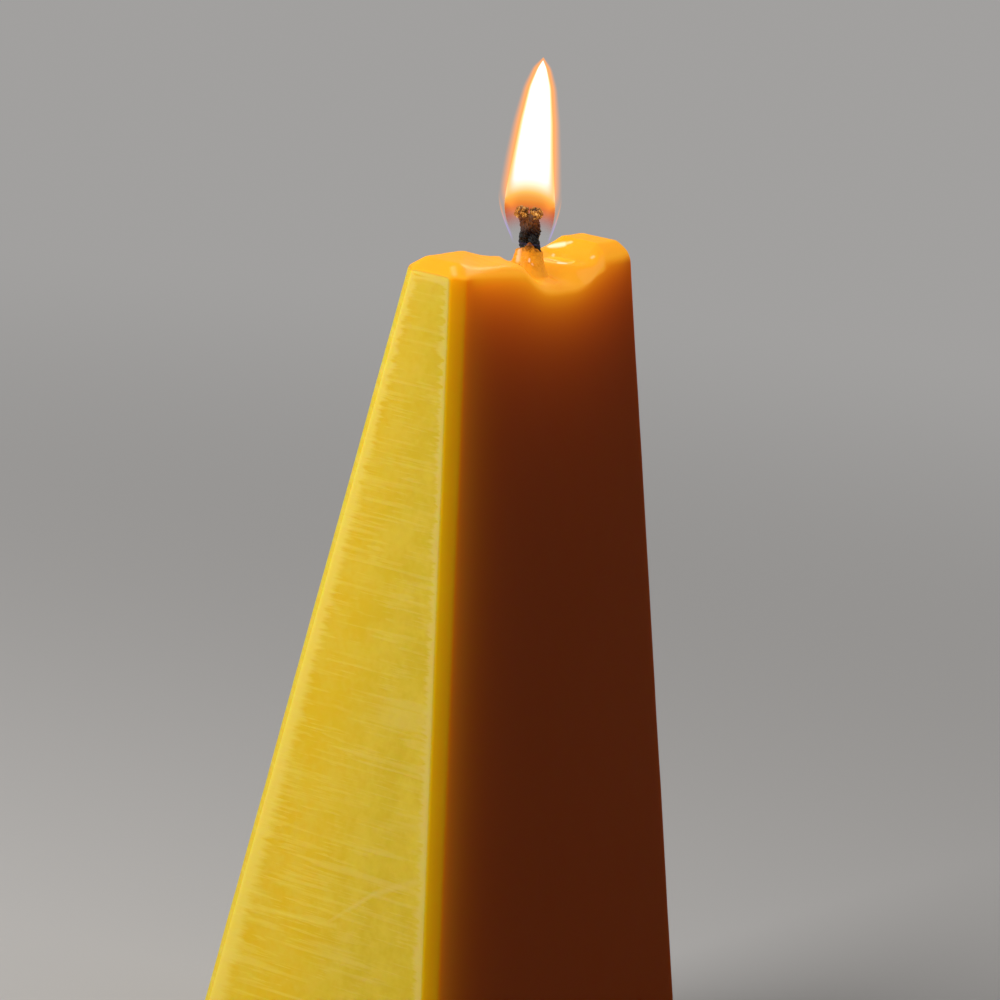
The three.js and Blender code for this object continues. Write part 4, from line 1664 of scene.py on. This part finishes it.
@dataclass(frozen=True)
class LiquidPool:
    """The bead of liquid wax in the hollow, with a rounded edge."""

    wedge: CastWedge = CastWedge()
    light: InnerLight = InnerLight()
    centre: Pair = (11.5, 0.6)
    radius: float = 3.7
    stretch: Pair = (1.05, 0.95)
    level: float = -2.95
    crown: float = 0.1
    edge_from: float = 0.80
    edge_sink: float = 0.12
    hem: float = 0.5
    thickness: float = 0.8
    # Where the painted highlight ring near the pool's edge lies, and how bright it is
    rim_in: Pair = (0.78, 0.86)
    rim_out: Pair = (0.90, 0.97)
    rim_light: float = 0.7
    sides: int = 96
    rows: int = 22

    def rings(self) -> list[Array]:
        """Rings from the middle of the pool out to its edge and down under it."""
        angle = turns(self.sides)
        rings = []
        for t in np.linspace(0, 1, self.rows + 1)[1:]:
            x = self.centre[0] + self.radius * t * np.cos(angle) * self.stretch[0]
            y = self.centre[1] + self.radius * t * np.sin(angle) * self.stretch[1]
            edge = smooth_step(t, self.edge_from, 1.0)
            top = self.wedge.height + self.level + self.crown * (1 - t * t)
            floor = self.wedge.top_at(x, y) - self.edge_sink
            rings.append(np.stack([x, y, top * (1 - edge) + floor * edge], axis=1))
        rings.append(rings[-1] - np.array([0.0, 0.0, self.hem]))
        return rings

    def build(self) -> None:
        """Build and dress the pool."""
        rings = self.rings()
        surface = self.wedge.height + self.level
        middle = np.array([[*self.centre, surface + self.crown]])
        bottom = np.array([[*self.centre, surface - self.thickness]])
        points = np.concatenate([middle, *rings, bottom])
        piece = make_piece("melt_pool_liquid", points, flipped(poled_faces(len(rings), self.sides)))
        from_middle = (points[:, :2] - np.array(self.centre)) / np.array(self.stretch)
        out = np.hypot(*from_middle.T) / self.radius
        # The painted highlight ring near the edge, carried as the edge value
        rim = smooth_step(out, *self.rim_in) * (1 - smooth_step(out, *self.rim_out))
        store_value(piece, Field.EDGE, rim * self.rim_light)
        store_colour(piece, Field.GLOW, self.light.at(self.wedge, points, np.ones(len(points))))
        dress(piece, LiquidWax(), Slot.LIQUID, "melt_pool")


@dataclass(frozen=True)
class PlaitedWick:
    """Three plaited strands of twisted cotton, charred where they stand clear of the wax."""

    axis: WickAxis = WickAxis()
    top: float = 155.6
    fine_from: float = 145.0
    coarse_rows: int = 120
    fine_rows: int = 110
    half_width: float = 0.86
    half_thickness: float = 0.34
    pitch: float = 11.0
    radius: float = 0.92
    swell: float = 0.16
    swell_height: float = 149.6
    swell_run: float = 1.3
    tip: float = 0.5
    tip_least: float = 0.05
    yarns: int = 8
    groove: float = 0.2
    twist: float = 5.5
    crust: float = 0.10
    crust_heights: Pair = (147.0, 150.0)
    sides: int = 64

    def centre(self, z: Array, phase: float) -> Array:
        """Middle of a strand at heights."""
        turn = 2 * math.pi * z / self.pitch + phase
        x, y = self.axis.plan(self.half_width * np.sin(turn), self.half_thickness * np.sin(2 * turn))
        return np.stack([self.axis.at(z) + x, y, z], axis=1)

    def girth(self, z: float, angle: Array) -> Array:
        """Radius of a strand round one height, with the grooves between its yarns."""
        lobes = np.abs(np.cos(self.yarns * (angle + 2 * math.pi * z / self.twist) / 2))
        taper = math.sqrt(max(self.tip_least, min(1.0, (self.top - z) / self.tip)))
        swollen = 1 + self.swell * math.exp(-(((z - self.swell_height) / self.swell_run) ** 2))
        return self.radius * swollen * taper * (1 - self.groove + self.groove * lobes)

    def strand(self, index: int) -> None:
        """Build and dress one strand, numbered from 0."""
        coarse = np.linspace(0, self.fine_from, self.coarse_rows, endpoint=False)
        heights = np.concatenate([coarse, np.linspace(self.fine_from, self.top, self.fine_rows)])
        middle = self.centre(heights, 2 * math.pi * index / 3)
        tangent = unit(np.gradient(middle, heights, axis=0))
        side = unit(np.cross(tangent, [0.0, 1.0, 0.0]))
        other = np.cross(tangent, side)
        angle = turns(self.sides)
        rings = []
        for i, z in enumerate(heights):
            spoke = np.cos(angle)[:, None] * side[i] + np.sin(angle)[:, None] * other[i]
            rings.append(middle[i] + self.girth(z, angle)[:, None] * spoke)
        points = np.concatenate(rings)
        radial = points - np.repeat(middle, self.sides, axis=0)
        crust = sum(Ripple(*wave).at(points) for wave in ((31 + index, 0.9), (41 + index, 0.4)))
        burnt = smooth_step(points[:, 2], *self.crust_heights)
        points = points + radial * (self.crust * crust * burnt)[:, None]
        points[:, 2] = np.clip(points[:, 2], 0.0, None)
        faces = flipped(capped_faces(len(rings), self.sides))
        piece = make_piece(f"wick_yarn_{index + 1}", points, faces)
        dress(piece, CharredCotton(), Slot.WICK, f"wick_strand_{index + 1}")

    def build(self) -> None:
        """Build and dress the three strands."""
        for index in range(3):
            self.strand(index)


@dataclass(frozen=True)
class CarbonHead:
    """One knobbly head of carbon, covered in glowing beads."""

    node: str
    side: float
    radius: float
    seed: int
    axis: WickAxis = WickAxis()
    lift: float = 5.65
    flattening: Point = (1.0, 1.0, 0.92)
    beads: int = 210
    bead_size: Pair = (0.09, 0.24)
    bead_stretch: Pair = (0.7, 1.2)
    bead_heat: Pair = (0.15, 1.0)
    bead_sink: Pair = (0.80, 0.18)
    bead_grid: tuple[int, int] = (6, 9)
    core_grid: tuple[int, int] = (28, 40)
    core_size: float = 0.72
    core_swings: Pair = (0.16, 0.07)
    lump_sizes: Pair = (0.9, 0.35)

    def centre(self) -> Array:
        """Middle of the head."""
        z = self.axis.height + self.lift
        x, y = self.axis.plan(self.side, 0.0)
        return np.array([self.axis.at(z) + x, y, z])

    @staticmethod
    def ball(rows: int, sides: int) -> tuple[Array, Faces]:
        """Points and faces of a ball of radius 1."""
        angle = turns(sides)
        polars = [math.pi * i / rows for i in range(1, rows)]
        rings = [level_ring(angle, math.sin(polar), -math.cos(polar)) for polar in polars]
        points = np.concatenate([[[0.0, 0.0, -1.0]], *rings, [[0.0, 0.0, 1.0]]])
        return points, poled_faces(len(rings), sides)

    def build(self) -> None:
        """Build and dress the head."""
        rng = np.random.default_rng(self.seed)
        centre, flattening = self.centre(), np.array(self.flattening)
        lumps, grit = (Ripple(self.seed + i, size) for i, size in enumerate(self.lump_sizes))
        shape, faces = self.ball(*self.core_grid)
        broad, small = self.core_swings
        swell = self.core_size + broad * lumps.at(shape) + small * grit.at(shape)
        points = [centre + shape * (swell * self.radius)[:, None] * flattening]
        heat = [np.zeros(len(shape))]
        offset = len(shape)
        bead, bead_faces = self.ball(*self.bead_grid)
        for _ in range(self.beads):
            direction = unit(rng.normal(size=(1, 3)))
            size = rng.uniform(*self.bead_size)
            lumpy = self.bead_sink[0] + self.bead_sink[1] * float(lumps.at(direction)[0])
            where = centre + direction[0] * (self.radius * lumpy) * flattening
            points.append(where + bead * size * rng.uniform(*self.bead_stretch, size=3))
            faces += [tuple(offset + i for i in face) for face in bead_faces]
            heat.append(np.full(len(bead), rng.uniform(*self.bead_heat)))
            offset += len(bead)
        piece = make_piece(f"{self.node}_beads", np.concatenate(points), faces)
        store_value(piece, Field.EDGE, np.concatenate(heat))
        dress(piece, GlowingCarbon(), Slot.CARBON, self.node)


@dataclass(frozen=True)
class Flame:
    """The flame: a white heart inside a thin veil, both following the wick's axis."""

    axis: WickAxis = WickAxis()
    bottom: float = 150.65
    height: float = 30.6
    heart_gap: float = 0.5
    foot_shares: Pair = (0.35, 0.75)
    foot_heights: Pair = (-0.02, 0.0)
    tip_crowding: float = 1.25
    least_radius: float = 0.02
    blur: int = 8
    sides: int = 72
    rows: int = 150

    # Height above the flame's foot, radius of its veil and radius of its heart
    OUTLINE = (
        (0.0, 2.85, 2.6),
        (1.2, 3.4, 3.1),
        (3.1, 4.15, 3.8),
        (5.4, 4.85, 4.22),
        (7.4, 5.2, 4.12),
        (9.4, 5.2, 3.9),
        (14.1, 4.75, 3.3),
        (20.1, 4.0, 2.65),
        (25.9, 2.85, 1.75),
        (29.2, 1.5, 0.6),
    )

    def profile(self, column: int, tip: float) -> tuple[Array, Array]:
        """Heights and radii of one layer.

        Args:
            column: Column of the outline.
            tip: Height of the layer's tip above the foot.

        Returns:
            Heights above the foot and radii.
        """
        table = np.array(self.OUTLINE)
        heights = np.concatenate([table[:, 0], [tip]])
        radii = np.concatenate([table[:, column], [0.0]])
        share = np.linspace(0, 1, self.rows)
        up = tip * (1 - (1 - share) ** self.tip_crowding)
        fine = np.interp(up, heights, radii)
        kernel = np.hanning(2 * self.blur + 1)
        kernel /= kernel.sum()
        below, past_tip = np.full(self.blur, fine[0]), -fine[-2 : -2 - self.blur : -1]
        smoothed = np.convolve(np.concatenate([below, fine, past_tip]), kernel, mode="valid")
        return up, np.maximum(smoothed, self.least_radius)

    def layer(self, name: str, column: int, tip: float) -> Piece:
        """Build one closed layer."""
        up, radii = self.profile(column, tip)
        radii = np.concatenate([radii[0] * np.array(self.foot_shares), radii])
        heights = np.concatenate([self.foot_heights, up]) + self.bottom
        angle = turns(self.sides)
        rings = [level_ring(angle, radius, z, self.axis.at(z)) for radius, z in zip(radii, heights)]
        piece = make_piece(name, np.concatenate(rings), capped_faces(len(rings), self.sides))
        piece.visible_shadow = False
        return piece

    def build(self) -> None:
        """Build and dress the heart and the veil."""
        heart = self.layer("flame_heart", 2, self.height - self.heart_gap)
        dress(heart, FlameHeart(), Slot.FLAME, "flame")
        veil = self.layer("flame_veil", 1, self.height)
        dress(veil, FlameVeil(), Slot.FLAME)


def toward_viewer(azimuth: float, elevation: float) -> Vector:
    """Direction from the candle toward a viewer, from angles in radians."""
    out = math.cos(elevation)
    return Vector((math.sin(azimuth) * out, -math.cos(azimuth) * out, math.sin(elevation)))


@dataclass(frozen=True)
class Lamp:
    """A soft square lamp that looks at the candle, in degrees, metres and watts."""

    name: str
    azimuth: float
    elevation: float
    distance: float
    size: float
    power: float
    aim: Point = (0.0, 0.0, 0.11)

    def build(self) -> None:
        """Hang the lamp."""
        back = toward_viewer(math.radians(self.azimuth), math.radians(self.elevation))
        data = bpy.data.lights.new(self.name, "AREA")
        data.size = self.size
        data.energy = self.power
        lamp = linked(self.name, data)
        lamp.location = Vector(self.aim) + back * self.distance
        lamp.rotation_mode = "QUATERNION"
        lamp.rotation_quaternion = back.to_track_quat("Z", "Y")


@dataclass(frozen=True)
class FlameLamp:
    """A small round lamp in the flame, which lights the wax or gleams on what is wet."""

    name: str
    colour: Colour
    power: float
    gleams: bool
    axis: WickAxis = WickAxis()
    lift: float = 13.0
    radius: float = 3.0

    def build(self) -> None:
        """Hang the lamp."""
        data = bpy.data.lights.new(self.name, "POINT")
        data.color = self.colour
        data.energy = self.power
        data.shadow_soft_size = self.radius * METRES
        lamp = linked(self.name, data)
        lamp.visible_glossy = self.gleams
        lamp.visible_diffuse = not self.gleams
        lamp.location = (self.axis.x * METRES, 0.0, (self.axis.height + self.lift) * METRES)


@dataclass(frozen=True)
class Camera:
    """The camera, standing where the photograph's was, with places in metres."""

    target: Point = (0.0, 0.0, 0.09)
    azimuth: float = math.radians(-57.1724)
    elevation: float = math.radians(13.9128)
    roll: float = math.radians(-6.0946)
    distance: float = 0.8
    focal_pixels: float = 4834.7
    middle_pixels: Pair = (484.89, 603.54)
    frame_pixels: float = 1000.0
    sensor: float = 36.0
    clip: Pair = (0.01, 20.0)

    def build(self) -> None:
        """Stand the camera and turn it so that its middle looks where the photograph's does."""
        back = toward_viewer(self.azimuth, self.elevation)
        level = Vector((math.cos(self.azimuth), math.sin(self.azimuth), 0.0))
        upright = back.cross(level)
        right = level * math.cos(self.roll) - upright * math.sin(self.roll)
        up = level * math.sin(self.roll) + upright * math.cos(self.roll)
        half = self.frame_pixels / 2
        aside = (half - self.middle_pixels[0]) / self.focal_pixels
        above = (self.middle_pixels[1] - half) / self.focal_pixels
        toward = (back - right * aside - up * above).normalized()
        true_up = (up - toward * up.dot(toward)).normalized()
        data = bpy.data.cameras.new("camera")
        data.sensor_width = self.sensor
        data.lens = self.focal_pixels / self.frame_pixels * self.sensor
        data.clip_start, data.clip_end = self.clip
        camera = linked("camera", data)
        turned = Matrix((true_up.cross(toward), true_up, toward)).transposed().to_4x4()
        camera.matrix_world = Matrix.Translation(Vector(self.target) + back * self.distance) @ turned
        bpy.context.scene.camera = camera


@dataclass(frozen=True)
class Studio:
    """The floor, the lamps and the even light of the room."""

    floor_radius: float = 1600.0
    bend_radius: float = 900.0
    bend_steps: int = 14
    wall_top: float = 2200.0
    sides: int = 96
    room_light: tuple[float, float, float, float] = (1.0, 0.95, 0.90, 1.0)
    room_strength: float = 0.14

    LAMPS = (
        Lamp("key_lamp", -112.0, 34.0, 0.9, 0.6, 10.5),
        Lamp("fill_lamp", 30.0, 30.0, 1.1, 0.7, 2.0),
        FlameLamp("flame_light", (1.0, 0.55, 0.2), 0.0015, False),
        FlameLamp("flame_gleam", (1.0, 0.9, 0.75), 0.02, True),
    )

    def floor(self) -> None:
        """Lay a floor that sweeps up into a backdrop all round."""
        flat, bend = self.floor_radius, self.bend_radius
        profile = [(flat, 0.0)]
        for step in range(1, self.bend_steps + 1):
            turn = math.pi / 2 * step / self.bend_steps
            profile.append((flat + bend * math.sin(turn), bend * (1 - math.cos(turn))))
        profile.append((flat + bend, self.wall_top))
        angle = turns(self.sides)
        rings = [level_ring(angle, radius, z) for radius, z in profile]
        faces = flipped(capped_faces(len(rings), self.sides)[:-1])
        floor = make_piece("floor", np.concatenate(rings), faces)
        floor.data.polygons[len(faces) - 1].use_smooth = False
        floor.data.materials.append(PaleFloor().material())

    def world(self) -> None:
        """Even soft light from all round."""
        world = bpy.data.worlds.new("room")
        world.use_nodes = True
        background = world.node_tree.nodes["Background"]
        background.inputs[0].default_value = self.room_light
        background.inputs[1].default_value = self.room_strength
        bpy.context.scene.world = world

    def build(self) -> None:
        """Set up the whole studio."""
        self.floor()
        for lamp in self.LAMPS:
            lamp.build()
        self.world()
        bpy.context.scene.view_settings.view_transform = "Standard"


def main() -> None:
    """Build every piece of the candle and the studio."""
    logging.basicConfig(level=logging.INFO, format="%(name)s: %(message)s")
    Camera().build()
    WaxBody().build()
    LiquidPool().build()
    WickFoot().build()
    PlaitedWick().build()
    CarbonHead("carbon_head_left", -1.32, 1.3, 51).build()
    CarbonHead("carbon_head_right", 1.08, 1.2, 61).build()
    Flame().build()
    Studio().build()


if __name__ == "__main__":
    main()
